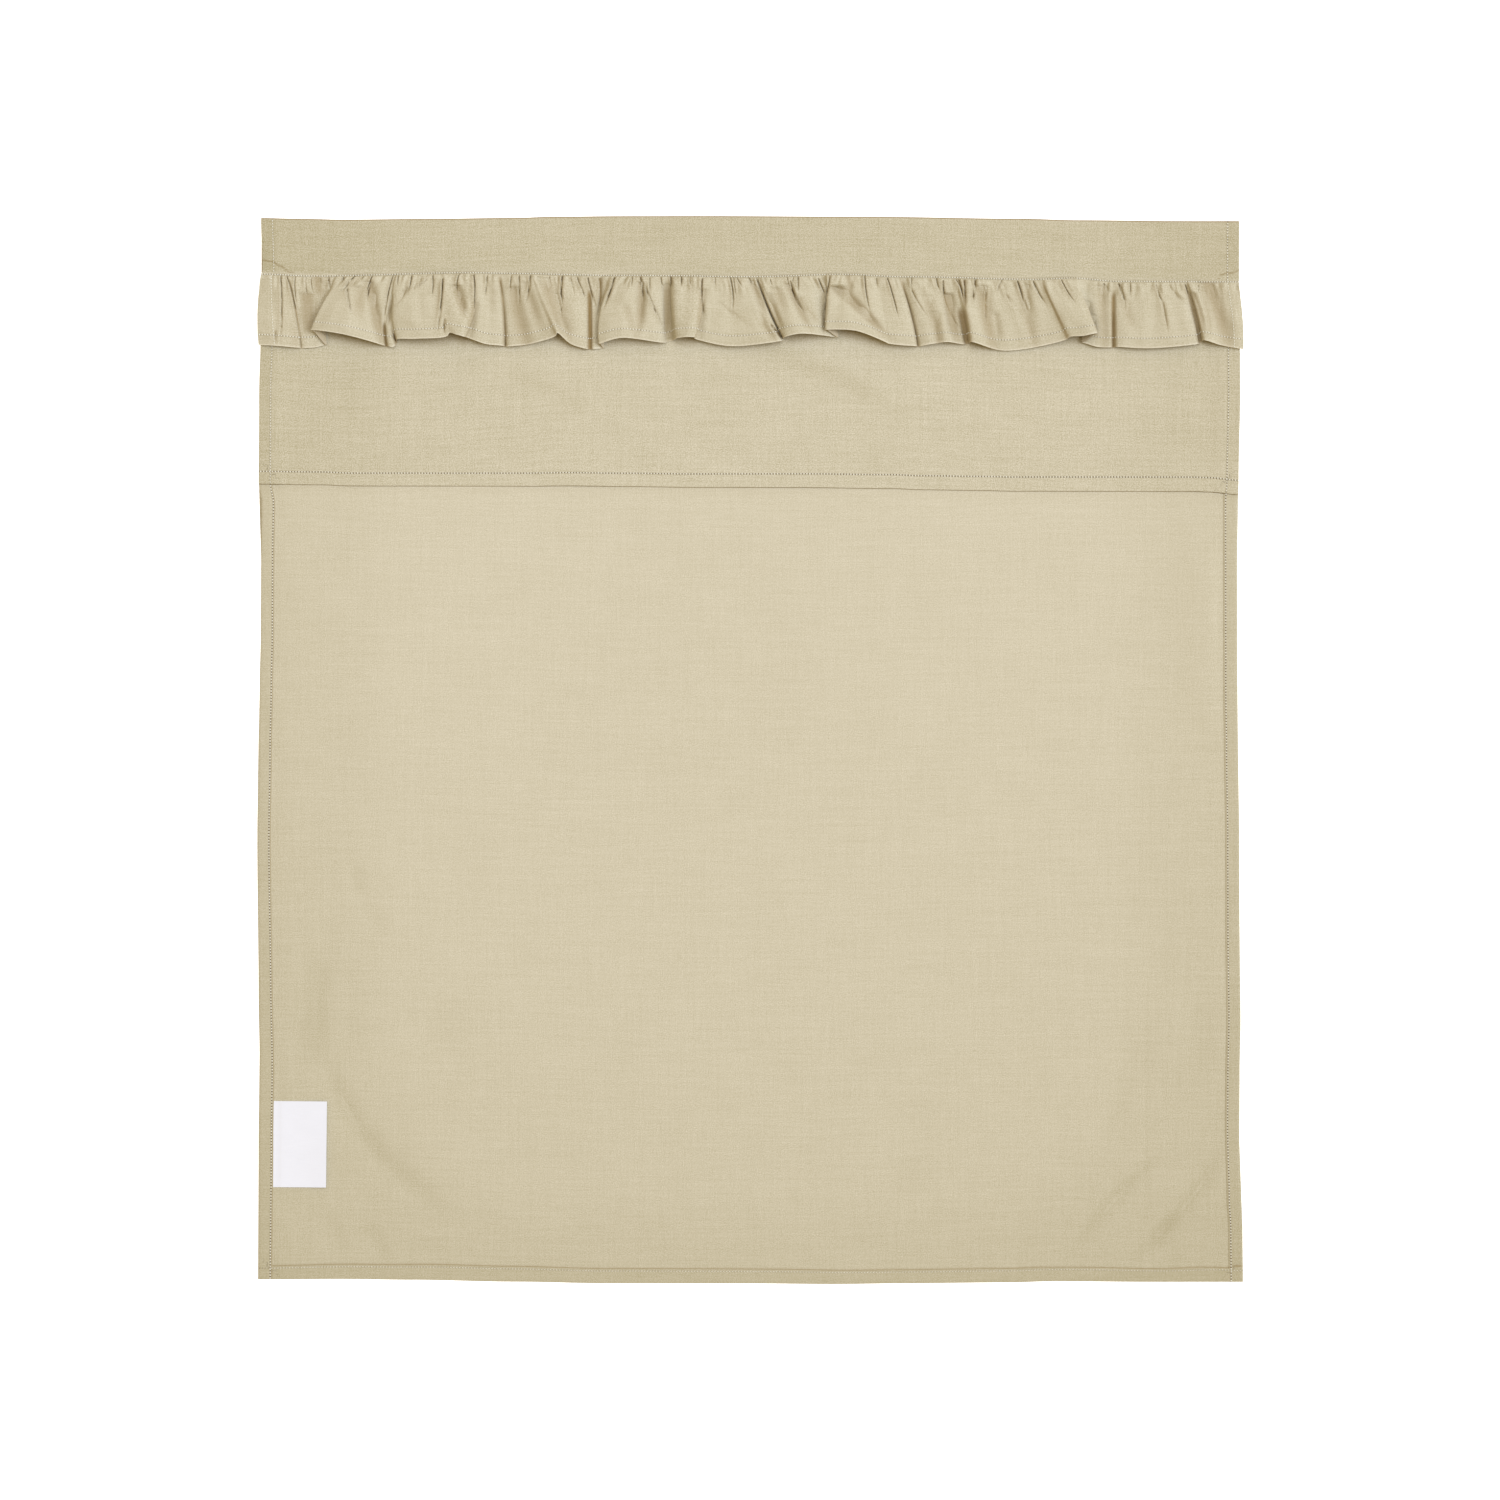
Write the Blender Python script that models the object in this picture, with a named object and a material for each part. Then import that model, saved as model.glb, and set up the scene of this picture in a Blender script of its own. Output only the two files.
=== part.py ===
"""Cradle top sheet, laid flat: its head end is turned down over the front, and a gathered
frill is sewn across the part that is turned down. A bare care label is sewn into the left hem.

Frame: +X to the right and +Y to the head end as the sheet is seen from above, +Z up.
The origin is the middle of the underside. Tables are in millimetres, the scene in metres.
"""
import math
from collections import namedtuple

import bpy
from mathutils import Vector

MM = 0.001

# Cloth, in millimetres. One layer is built thicker than the real 0.3 mm cotton.
LAYER = 1.0
HEM_STEP = 0.4  # how much a turned hem stands above a single layer
HEM_WIDTH = 10.0
HEM_RAMP = 0.8  # the width over which the cloth steps up to its hem
GAP = 0.5  # between layers of the same folded cloth
APART = 0.4  # between two pieces that lie on each other

# The finished sheet: 750 mm wide, 815 mm of it flat, then 207 mm turned down.
Edge = namedtuple("Edge", "along offset")
LEFT_EDGE = [Edge(-409, -377.0), Edge(-240, -376.2), Edge(-55, -377.6), Edge(85, -375.2),
             Edge(176, -374.8), Edge(285, -376.2), Edge(375, -374.4), Edge(409, -374.8)]
RIGHT_EDGE = [Edge(-409, 377.4), Edge(-345, 376.0), Edge(-269, 374.8), Edge(-160, 375.2),
              Edge(-8, 373.8), Edge(176, 373.2), Edge(270, 375.2), Edge(409, 375.2)]
FOOT_EDGE = [Edge(-378, -406.0), Edge(-300, -405.4), Edge(-160, -407.6), Edge(45, -409.0),
             Edge(253, -406.9), Edge(378, -407.6)]
FOLD_EDGE = [Edge(-378, 406.8), Edge(-250, 406.9), Edge(-38, 409.0), Edge(92, 408.4),
             Edge(207, 406.9), Edge(378, 404.6)]
HEAD_EDGE = [Edge(-378, 204.6), Edge(-330, 203.1), Edge(-38, 200.5), Edge(115, 199.4),
             Edge(284, 197.9), Edge(346, 197.2), Edge(378, 195.4)]

# The turned-down part, as heights of its middle surface above the ground.
FOLD_RADIUS = 1.25
BODY_HEIGHT = LAYER / 2
DOWN_HEIGHT = BODY_HEIGHT + LAYER + GAP
FOLD_RISE = 1.0  # added next to the fold, and gone FOLD_REACH from it
FOLD_REACH = 25.0
SIDE_RISE = 1.0  # added over the side hems, and gone SIDE_REACH from the edge
SIDE_REACH = 26.0
HEAD_RISE = 0.4  # added over its own hem, and gone HEAD_REACH from the edge
HEAD_REACH = 22.0

BODY_ROWS = 12
FOLD_ROWS = 8
FOLD_REACH_ROWS = 5
DOWN_ROWS = 6
SHEET_COLUMNS = 18

# The frill, seen from above. Each row is one panel between two fold lines, left to right:
# where its left and right edges lie at the seam, halfway and at the hem (x), how high its
# left edge, crest and right edge stand at the hem, and how far from the seam its hem lies
# at these three. crest is the share of the width at which the crest lies. join says how the
# panel meets the next: by a slot, a step, or a lap, where one panel lies over the other.
Panel = namedtuple("Panel", "seam_left seam_right middle_left middle_right hem_left hem_right "
                            "rise_left rise_crest rise_right "
                            "reach_left reach_crest reach_right crest join")
PANELS = [
    Panel(-374, -355, -376, -350, -375.5, -346, 1.5, 3, 2.5, 55, 55.5, 56.5, 0.45, "slot"),
    Panel(-352, -319, -346.5, -325, -342.5, -324, 1.2, 1.2, 1.5, 56.5, 55.5, 53.5, 0.5, "lap"),
    Panel(-312, -275, -332, -282, -336.5, -280.5, 7.5, 11.5, 4, 42, 46, 55, 0.45, "slot"),
    Panel(-272, -236.5, -278, -237.5, -275.5, -232, 3, 8.5, 7.5, 52, 50, 48.5, 0.5, "step"),
    Panel(-234, -212, -235, -211, -230, -219, 11, 12.5, 11.5, 45.5, 47, 49, 0.5, "step"),
    Panel(-209, -193, -209.5, -189, -217, -188, 7.5, 5, 2.5, 50, 55, 56.5, 0.5, "slot"),
    Panel(-190, -168.5, -186, -161, -185, -150, 2.5, 4.5, 7.5, 57, 54.5, 48.5, 0.5, "step"),
    Panel(-166, -124.5, -157.5, -124, -147, -124, 12, 6, 2.5, 46, 54, 57.5, 0.45, "slot"),
    Panel(-121.5, -109, -121.5, -112.5, -121.5, -111.5, 1.5, 1.2, 1.5, 57.5, 57, 56.5, 0.5, "lap"),
    Panel(-103, -67, -114, -66.5, -115.5, -66.5, 5.5, 9, 2, 53, 48.5, 54, 0.35, "slot"),
    Panel(-60, -37, -56.5, -36, -53.5, -41, 11, 12.5, 11, 48, 47.5, 47.5, 0.5, "step"),
    Panel(-34.5, 4, -34.5, 15, -39, 24.5, 6.5, 3, 5.5, 48.5, 54, 50, 0.4, "slot"),
    Panel(7, 55.5, 18, 63.5, 27.5, 68, 8, 12.5, 3.5, 47, 44.5, 48.5, 0.3, "lap"),
    Panel(61.5, 114, 59, 122.5, 58, 127.5, 10.5, 12.5, 3.5, 43, 44, 54, 0.35, "slot"),
    Panel(117, 147.5, 125.5, 151.5, 131, 160, 2.5, 6.5, 3, 54, 50.5, 52, 0.6, "slot"),
    Panel(164.5, 222, 166.5, 232, 170, 242.5, 9, 2.5, 6.5, 50, 56, 46.5, 0.35, "step"),
    Panel(224, 248, 233.5, 259, 245.5, 267, 11, 12.5, 12, 44.5, 44.5, 43, 0.5, "lap"),
    Panel(254, 278, 258.5, 278.5, 258.5, 278.5, 2.5, 4, 3, 50, 52, 51.5, 0.5, "slot"),
    Panel(281, 331.5, 281, 337.5, 281.5, 343.5, 3, 4.5, 3, 51, 52, 48.5, 0.4, "slot"),
    Panel(336, 374, 343.5, 376, 349, 377.6, 7.5, 4.5, 2, 45.5, 49, 52.5, 0.4, "end"),
]
SEAM = [Edge(-376, 365.0), Edge(-332, 363.6), Edge(-215, 366.0), Edge(-92, 364.0),
        Edge(8, 363.0), Edge(69, 364.8), Edge(120, 363.0), Edge(222, 361.0),
        Edge(247, 362.0), Edge(283, 359.5), Edge(376, 359.0)]
FRILL_HEM_STEP = 0.3
FRILL_HEM_START = 0.85  # its hem is 8 mm of its 55 mm
SEAM_RISE = 0.15  # the share of a fold's height that is left at the seam
PUFF = 0.7  # below 1, the folds stand up soon after the seam
LAP_RADIUS = 1.0
LAP_OPENS = 16.0  # the change in overlap over which a lap's folds reach their full radius
SLOT_SLOPE = 1.1  # the deepest that a slot may be, for its width
FRILL_ROWS = [0.0, 0.09, 0.2, 0.35, 0.52, 0.7, FRILL_HEM_START, 1.0]
FRILL_STEP = 7.0  # the longest distance between two columns, measured along the hem

# The label, caught in the side hem at its left edge.
LABEL_WIDTH = 41.0
LABEL_HEIGHT = 66.0
LABEL_TOP = -269.5  # y of its upper edge
LABEL_LEFT = -364.6  # x of its left edge, at the inner edge of the side hem
LABEL_THICKNESS = 0.8
LABEL_LIFT = 1.2  # how much its free edge rises
LABEL_STEPS = 8
LABEL_ROWS = 4

COTTON = (0.62, 0.53, 0.37)
LABEL_WHITE = (0.86, 0.86, 0.88)
CLOTH_ROUGHNESS = 0.9


def clear_scene():
    for old in list(bpy.data.objects):
        bpy.data.objects.remove(old, do_unlink=True)


def material(name, colour):
    made = bpy.data.materials.new(name)
    made.use_nodes = True
    shader = made.node_tree.nodes["Principled BSDF"]
    shader.inputs["Base Color"].default_value = (*colour, 1.0)
    shader.inputs["Roughness"].default_value = CLOTH_ROUGHNESS
    shader.inputs["Metallic"].default_value = 0.0
    return made


def smooth_step(value):
    """0 below 0, 1 above 1, with a soft start and end between them."""
    held = min(max(value, 0.0), 1.0)
    return held * held * (3 - 2 * held)


def edge_at(table, along):
    """The offset of a wandering edge at one place, by soft steps between the table's rows."""
    for start, end in zip(table, table[1:]):
        if along <= end.along:
            share = smooth_step((along - start.along) / (end.along - start.along))
            return start.offset + share * (end.offset - start.offset)
    return table[-1].offset


def hem_raise(inside):
    """Extra thickness of the sheet at a distance inside its nearest edge."""
    return HEM_STEP * (1 - smooth_step((inside - HEM_WIDTH) / HEM_RAMP))


def thick_cloth(name, rows, over, under, surface):
    """One closed solid round a grid of points. over and under are the thicknesses to add on
    each side of the grid, in millimetres, over being the side that its normals point to."""
    last_row, last_column = len(rows) - 1, len(rows[0]) - 1
    vertices = []
    for thickness, side in ((over, 1), (under, -1)):
        for i, row in enumerate(rows):
            for j, point in enumerate(row):
                across = row[min(j + 1, last_column)] - row[max(j - 1, 0)]
                along = rows[min(i + 1, last_row)][j] - rows[max(i - 1, 0)][j]
                normal = across.cross(along).normalized()
                vertices.append((point + side * thickness[i][j] * normal) * MM)

    def corner(side, i, j):
        return (side * (last_row + 1) + i) * (last_column + 1) + j

    faces = []
    for i in range(last_row):
        for j in range(last_column):
            ring = [(i, j), (i, j + 1), (i + 1, j + 1), (i + 1, j)]
            faces.append([corner(0, *place) for place in ring])
            faces.append([corner(1, *place) for place in reversed(ring)])
    rim = [(0, j) for j in range(last_column)]
    rim += [(i, last_column) for i in range(last_row)]
    rim += [(last_row, j) for j in range(last_column, 0, -1)]
    rim += [(i, 0) for i in range(last_row, 0, -1)]
    for here, there in zip(rim, rim[1:] + rim[:1]):
        faces.append([corner(0, *there), corner(0, *here), corner(1, *here), corner(1, *there)])

    mesh = bpy.data.meshes.new(name)
    mesh.from_pydata(vertices, [], faces)
    mesh.validate()
    mesh.shade_smooth()
    mesh.set_sharp_from_angle(angle=math.radians(40))
    mesh.materials.append(surface)
    made = bpy.data.objects.new(name, mesh)
    bpy.context.collection.objects.link(made)
    return made


def even(count, start=0.0, end=1.0):
    """count shares, spaced evenly from start to end."""
    return [start + (end - start) * k / (count - 1) for k in range(count)]


def stations(reach):
    """Distances from a cut edge at which the height or the thickness changes."""
    inner = HEM_WIDTH + HEM_RAMP
    return [0.0, HEM_WIDTH, inner, (inner + reach) / 2, reach]


def side_distances(width):
    """Distances from the left edge to each column, close together at the two hems."""
    near = stations(SIDE_REACH)
    between = even(SHEET_COLUMNS, near[-1], width - near[-1])
    return near[:-1] + between + [width - distance for distance in reversed(near[:-1])]


def down_height(x, y):
    """Height of the middle surface of the turned-down part."""
    side = min(x - edge_at(LEFT_EDGE, y), edge_at(RIGHT_EDGE, y) - x)
    to_fold = edge_at(FOLD_EDGE, x) - FOLD_RADIUS - y
    to_head = y - edge_at(HEAD_EDGE, x)

    def fading(distance, flat, reach):
        return 1 - smooth_step((distance - flat) / (reach - flat))

    hem_end = HEM_WIDTH + HEM_RAMP
    return DOWN_HEIGHT + max(
        SIDE_RISE * fading(side, hem_end, SIDE_REACH),
        FOLD_RISE * fading(to_fold, 0.0, FOLD_REACH),
        HEAD_RISE * fading(to_head, hem_end, HEAD_REACH),
    )


def sheet_column(nominal_x):
    """(y, z, distance to the nearer cut edge) along the cloth, from foot to turned-down edge."""
    foot = edge_at(FOOT_EDGE, nominal_x)
    head = edge_at(HEAD_EDGE, nominal_x)
    centre = edge_at(FOLD_EDGE, nominal_x) - FOLD_RADIUS
    hem = [0.0, HEM_WIDTH]
    points = [(foot + distance, BODY_HEIGHT, distance) for distance in hem]
    for y in even(BODY_ROWS, foot + HEM_WIDTH + HEM_RAMP, centre):
        points.append((y, BODY_HEIGHT, y - foot))
    for k in range(1, FOLD_ROWS):
        turn = math.pi * k / FOLD_ROWS
        y = centre + FOLD_RADIUS * math.sin(turn)
        points.append((y, BODY_HEIGHT + FOLD_RADIUS * (1 - math.cos(turn)), y - foot))
    for y in even(FOLD_REACH_ROWS, centre, centre - FOLD_REACH)[:-1]:
        points.append((y, None, y - head))
    near = stations(HEAD_REACH)
    for y in even(DOWN_ROWS, centre - FOLD_REACH, head + near[-1]):
        points.append((y, None, y - head))
    points += [(head + distance, None, distance) for distance in reversed(near[:-1])]
    return points


def make_sheet(cotton):
    columns = []
    left_at_origin, right_at_origin = edge_at(LEFT_EDGE, 0), edge_at(RIGHT_EDGE, 0)
    for j, distance in enumerate(side_distances(right_at_origin - left_at_origin)):
        nominal_x = left_at_origin + distance
        column = []
        for y, z, inside in sheet_column(nominal_x):
            left, right = edge_at(LEFT_EDGE, y), edge_at(RIGHT_EDGE, y)
            x = left + side_distances(right - left)[j]
            height = down_height(x, y) if z is None else z
            inside = min(inside, x - left, right - x)
            column.append((Vector((x, y, height)), LAYER / 2 + hem_raise(inside)))
        columns.append(column)
    rows = [[column[i][0] for column in columns] for i in range(len(columns[0]))]
    inner = [[column[i][1] for column in columns] for i in range(len(columns[0]))]
    outer = [[LAYER / 2] * len(columns) for _ in inner]
    return thick_cloth("sheet", rows, inner, outer, cotton)


def panel_point(panel, place, share):
    """A panel's left edge, crest or right edge, share of the way from the seam to the hem."""
    across = {"left": 0.0, "crest": panel.crest, "right": 1.0}[place]
    seam = panel.seam_left + across * (panel.seam_right - panel.seam_left)
    middle = panel.middle_left + across * (panel.middle_right - panel.middle_left)
    hem = panel.hem_left + across * (panel.hem_right - panel.hem_left)
    straight = seam + share * (hem - seam)
    bend = 4 * share * (1 - share) * (middle - (seam + hem) / 2)
    rising = SEAM_RISE + (1 - SEAM_RISE) * math.sin(math.pi / 2 * share) ** PUFF
    y = edge_at(SEAM, seam) - share * getattr(panel, f"reach_{place}")
    return Vector((straight + bend, y, rising * getattr(panel, f"rise_{place}")))


def slot_floor(right, left):
    """The bottom of the slot between a panel's right edge and the next one's left edge."""
    floor = max(0.0, min(left.z, right.z) - SLOT_SLOPE * (left.x - right.x))
    points = [right.lerp(left, share) for share in (0.35, 0.7)]
    return [Vector((point.x, point.y, floor)) for point in points]


def lap_folds(right, left):
    """Two small folds, through which the cloth runs back under or over the panel before.
    Near the seam, where the edges don't lap yet, the same points lie side by side."""
    overlap = right.x - left.x
    opening = smooth_step(0.5 + overlap / LAP_OPENS)
    climbs = 1 if left.z > right.z else -1
    points = []
    for edge, side in ((right, -1), (left, 1)):
        for level in (-1, 0, 1):
            flat = level * max(-overlap, 0.0) / 3
            folded = abs(level) * side * 1.5 * LAP_RADIUS
            sideways = flat + opening * (folded - flat)
            upwards = level * climbs * LAP_RADIUS * opening
            points.append(edge + Vector((sideways, 0.0, upwards)))
    return points


def frill_row(share):
    """The knots of one row of the frill, above the place that each of them lies on."""
    knots = []
    join, last_right = "end", None
    for panel in PANELS:
        left, crest, right = [panel_point(panel, place, share) for place in ("left", "crest", "right")]
        if join == "lap":
            knots += lap_folds(last_right, left)
        else:
            if join == "slot":
                knots += slot_floor(last_right, left)
            knots.append(left)
        knots.append(crest)
        if panel.join != "lap":
            knots.append(right)
        join, last_right = panel.join, right
    return knots


def through(points, counts):
    """Points on a smooth curve through the given ones, counts of them in each stretch."""
    ends = [points[0] * 2 - points[1]] + points + [points[-1] * 2 - points[-2]]
    curve = []
    for k, count in enumerate(counts):
        p0, p1, p2, p3 = ends[k:k + 4]
        d1, d2, d3 = [max((b - a).length, 1e-4) ** 0.5 for a, b in ((p0, p1), (p1, p2), (p2, p3))]
        m1 = (p1 - p0) / d1 - (p2 - p0) / (d1 + d2) + (p2 - p1) / d2
        m2 = (p2 - p1) / d2 - (p3 - p1) / (d2 + d3) + (p3 - p2) / d3
        for step in range(count):
            t = step / count
            curve.append(p1 * (2 * t**3 - 3 * t**2 + 1) + m1 * d2 * (t**3 - 2 * t**2 + t)
                         + p2 * (3 * t**2 - 2 * t**3) + m2 * d2 * (t**3 - t**2))
    return curve + [points[-1]]


def make_frill(cotton):
    hem = frill_row(1.0)
    counts = [max(1, math.ceil((b - a).length / FRILL_STEP)) for a, b in zip(hem, hem[1:])]
    rows = []
    for share in FRILL_ROWS:
        row = []
        for point in through(frill_row(share), counts):
            seat = down_height(point.x, point.y) + LAYER + APART + FRILL_HEM_STEP
            row.append(Vector((point.x, point.y, seat + max(point.z, 0.0))))
        rows.append(row)
    under = [[LAYER / 2 + (FRILL_HEM_STEP if share >= FRILL_HEM_START else 0.0)] * len(rows[0])
             for share in FRILL_ROWS]
    over = [[LAYER / 2] * len(rows[0]) for _ in FRILL_ROWS]
    rows.reverse()
    under.reverse()
    return thick_cloth("frill", rows, over, under, cotton)


def make_label(white):
    columns = even(LABEL_STEPS)
    rows = []
    for down in even(LABEL_ROWS, LABEL_HEIGHT, 0.0):
        row = []
        for share in columns:
            height = LAYER + APART + LABEL_THICKNESS / 2 + LABEL_LIFT * share**2
            row.append(Vector((LABEL_LEFT + share * LABEL_WIDTH, LABEL_TOP - down, height)))
        rows.append(row)
    half = [[LABEL_THICKNESS / 2] * len(columns) for _ in rows]
    return thick_cloth("care_label", rows, half, half, white)


clear_scene()
make_sheet(material("sheet_cotton", COTTON))
make_frill(material("frill_cotton", COTTON))
make_label(material("label_tape", LABEL_WHITE))
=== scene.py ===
"""Looks of the cradle top sheet: cotton cloth with turned hems, a gathered frill, rows of
stitches and a bare care label, laid out on a pale floor under soft light.

Tables are in millimetres, and MM turns them into metres.
"""
import math
from collections import namedtuple

import bpy
import numpy as np
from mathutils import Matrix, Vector


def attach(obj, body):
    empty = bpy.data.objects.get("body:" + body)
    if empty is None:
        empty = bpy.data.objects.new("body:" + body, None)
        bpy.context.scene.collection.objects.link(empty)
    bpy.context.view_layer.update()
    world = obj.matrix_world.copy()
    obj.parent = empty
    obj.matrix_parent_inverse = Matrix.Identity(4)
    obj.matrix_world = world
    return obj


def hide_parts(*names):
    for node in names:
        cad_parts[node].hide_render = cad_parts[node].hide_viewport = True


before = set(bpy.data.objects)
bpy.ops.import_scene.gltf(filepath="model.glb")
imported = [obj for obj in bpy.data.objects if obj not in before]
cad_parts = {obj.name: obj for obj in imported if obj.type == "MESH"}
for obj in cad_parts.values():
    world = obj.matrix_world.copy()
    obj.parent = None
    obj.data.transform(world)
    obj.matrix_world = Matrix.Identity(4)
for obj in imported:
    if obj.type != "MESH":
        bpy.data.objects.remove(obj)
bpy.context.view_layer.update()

MM = 0.001

# The cloth as it shows, in millimetres: one layer, and what a turned hem adds to it.
LAYER = 0.5
HEM_STEP = 0.5
PITCH = 2.25  # from one stitch to the next
SEAM_PITCH = 2.0

Edge = namedtuple("Edge", "along offset")


def edges(*rows):
    """A table of a wandering edge: its offset at some places along it."""
    return [Edge(*row) for row in rows]


# The finished sheet, seen from above: 815 mm of it flat, then 207 turned down.
SHEET_WIDTH = 750.0
HALF_WIDTH = SHEET_WIDTH / 2
LEFT_EDGE = edges(
    (-409, -376.9), (-300, -376.5), (-240, -375.7), (-184, -376.5), (-69, -377.5), (0, -376.6),
    (45, -375.7), (92, -374.8), (150, -374.6), (190, -373.9), (203, -376.2), (270, -375.9),
    (322, -374.6), (368, -373.4), (409, -374.4),
)
RIGHT_EDGE = edges(
    (-409, 378.3), (-368, 378.0), (-345, 376.8), (-290, 375.5), (-253, 375.7), (-207, 376.5),
    (-138, 375.7), (-69, 375.5), (0, 374.6), (45, 374.0), (190, 373.8), (205, 374.8), (276, 376.0),
    (300, 375.9), (322, 375.1), (409, 375.2),
)
FOOT_EDGE = edges(
    (-378, -406.3), (-314, -406.0), (-260, -406.6), (-180, -408.1), (-110, -409.3), (0, -409.4),
    (62, -409.9), (115, -409.3), (196, -408.6), (230, -407.7), (303, -408.2), (378, -408.2),
)
FOLD_EDGE = edges(
    (-378, 407.5), (-341, 406.8), (-314, 406.2), (-250, 406.8), (-180, 407.6), (-153, 408.4),
    (-99, 408.9), (-38, 409.0), (92, 408.4), (207, 406.9), (249, 405.8), (330, 405.1), (378, 405.1),
)
HEAD_EDGE = edges(
    (-378, 203.6), (-328, 203.1), (-305, 202.2), (-167, 202.0), (-140, 202.3), (-98, 201.8),
    (-40, 201.1), (40, 201.0), (109, 200.2), (132, 199.3), (178, 198.7), (201, 198.2), (339, 198.0),
    (350, 197.6), (378, 195.2),
)
SEAM = edges(
    (-376, 365.0), (-332, 363.6), (-215, 366.0), (-92, 364.0), (8, 363.0), (69, 364.8), (120, 363.0),
    (222, 361.0), (247, 362.0), (283, 359.5), (376, 359.0),
)

# The width of each hem, which wanders a little along its edge.
LEFT_HEM = edges((-409, 10.7), (-300, 11.2), (-60, 10.2), (409, 10.0))
RIGHT_HEM = edges((-409, 10.6), (0, 10.4), (409, 10.4))
FOOT_HEM = edges(
    (-378, 10.0), (-290, 11.1), (-230, 11.6), (-100, 10.9), (30, 10.6), (95, 10.0), (261, 10.4),
    (315, 9.7), (353, 10.8), (378, 9.9),
)
HEAD_HEM = edges((-378, 11.0), (378, 12.4))
USUAL_HEM = 10.5
STITCHED_AT = 0.87  # the stitches' distance from the edge, as a share of the hem's width

# Heights of the turned-down layer's middle surface above the floor.
FOLD_RADIUS = 1.0
BODY_HEIGHT = LAYER / 2
DOWN_HEIGHT = 1.2
FOLD_RISE = BODY_HEIGHT + 2 * FOLD_RADIUS - DOWN_HEIGHT
FOLD_REACH = 25.0
SIDE_RISE = 0.75
SIDE_REACH = 26.0
HEAD_RISE = 0.25
HEAD_REACH = 22.0
ALLOWANCE = 11.0  # the seam allowance, pressed up under the band above the frill
ALLOWANCE_RISE = 0.35

# Small tucks of the band at the seam's two ends: how far above the seam each one's edge runs.
TUCKS = [
    edges((-375, 10.6), (-366, 9.2), (-359.5, 6.0), (-352, 1.4)),
    edges((359, 1.6), (361.5, 5.0), (366, 6.2), (370, 6.3), (375, 8.2)),
]
TUCK_DROP = 0.4

# Soft ridges that are left in the cloth, and troughs where the height is below 0: from one end
# to the other, how far the line bows to the left of that direction, then height and half width.
Ridge = namedtuple("Ridge", "x1 y1 x2 y2 bow height width")
BODY_RIDGES = [Ridge(*row) for row in [
    (-330, -228, -222, -358, -18, -0.7, 8), (-320, -105, -329, -235, -2, -0.5, 8),
    (-303, -85, -298, -116, 0, -0.45, 5), (-297, -108, -280, -150, 2, -0.3, 6),
    (-334, -135, -348, -255, 2, -0.4, 7), (-325, -350, -306, -388, -2, -0.3, 5),
    (-300, -358, -273, -398, 2, -0.4, 5), (324, -308, 240, -396, -6, -0.7, 6),
    (366, -302, 287, -396, 6, -0.7, 7), (305, -175, 305.5, -395, 0, -0.15, 3),
    (345, -180, 347, -255, 0, -0.5, 14), (299, -212, 270, -304, 4, -0.35, 8),
    (344, 190, 350, 0, 0, 0.9, 16),
]]
DOWN_RIDGES = [Ridge(*row) for row in [
    (2, 312, 116, 262, 7, 0.9, 9), (-196, 296, -114, 260, 5, 0.5, 8),
    (-279, 300, -279.5, 212, 0, 0.16, 1.6), (-305, 304, -305.5, 225, 0, 0.14, 1.6),
    (30, 262, 52, 214, 2, 0.2, 7),
]]

# Lines and spots of painted shade in the cloth, where its creases and hollows lie in shade, in the same
# way, with how dark in place of a height.
BODY_SHADE_MARKS = [Ridge(*row) for row in [
    (-330, -222, -218, -360, -18, 0.42, 6.5), (-323, -150, -329, -248, -2, 0.34, 6),
    (-302, -84, -299, -114, 0, 0.36, 3.5), (-297, -108, -280, -148, 2, 0.18, 6),
    (-334, -135, -348, -255, 2, 0.24, 8), (-303, -150, -301, -235, 0, 0.14, 5),
    (-325, -350, -306, -390, -2, 0.24, 5), (-300, -358, -273, -398, 2, 0.34, 4),
    (324, -304, 238, -398, -6, 0.42, 5), (366, -300, 285, -398, 6, 0.42, 6),
    (328, -354, 309, -382, 0, 0.34, 5), (330, -380, 326, -400, 0, 0.2, 4),
    (305, -175, 305.5, -398, 0, 0.16, 2), (345, -180, 347, -255, 0, 0.16, 14),
    (299, -208, 270, -306, 4, 0.2, 8), (-230, -186, -230, -232, 0, 0.16, 15),
    (124, -306, 125, -346, 0, 0.16, 14),
]]
DOWN_SHADE_MARKS = [Ridge(*row) for row in [
    (0, 310, 118, 258, 6, 0.42, 7), (-196, 292, -114, 256, 3, 0.22, 7),
    (-279, 300, -279.5, 212, 0, 0.16, 1.2), (-305, 304, -305.5, 225, 0, 0.16, 1.2),
]]

# The middle part of the sheet, inside rounded corners, outside which painted shade darkens the cloth
# towards its
# edges: its left, right and lower edges, the corners' radius, and how soft its edge is on the left and on
# the right.
UnshadedMiddle = namedtuple("UnshadedMiddle", "left right foot radius left_soft right_soft")
UNSHADED_MIDDLE = UnshadedMiddle(-287, 300, -356, 130, 55, 60)
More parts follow.
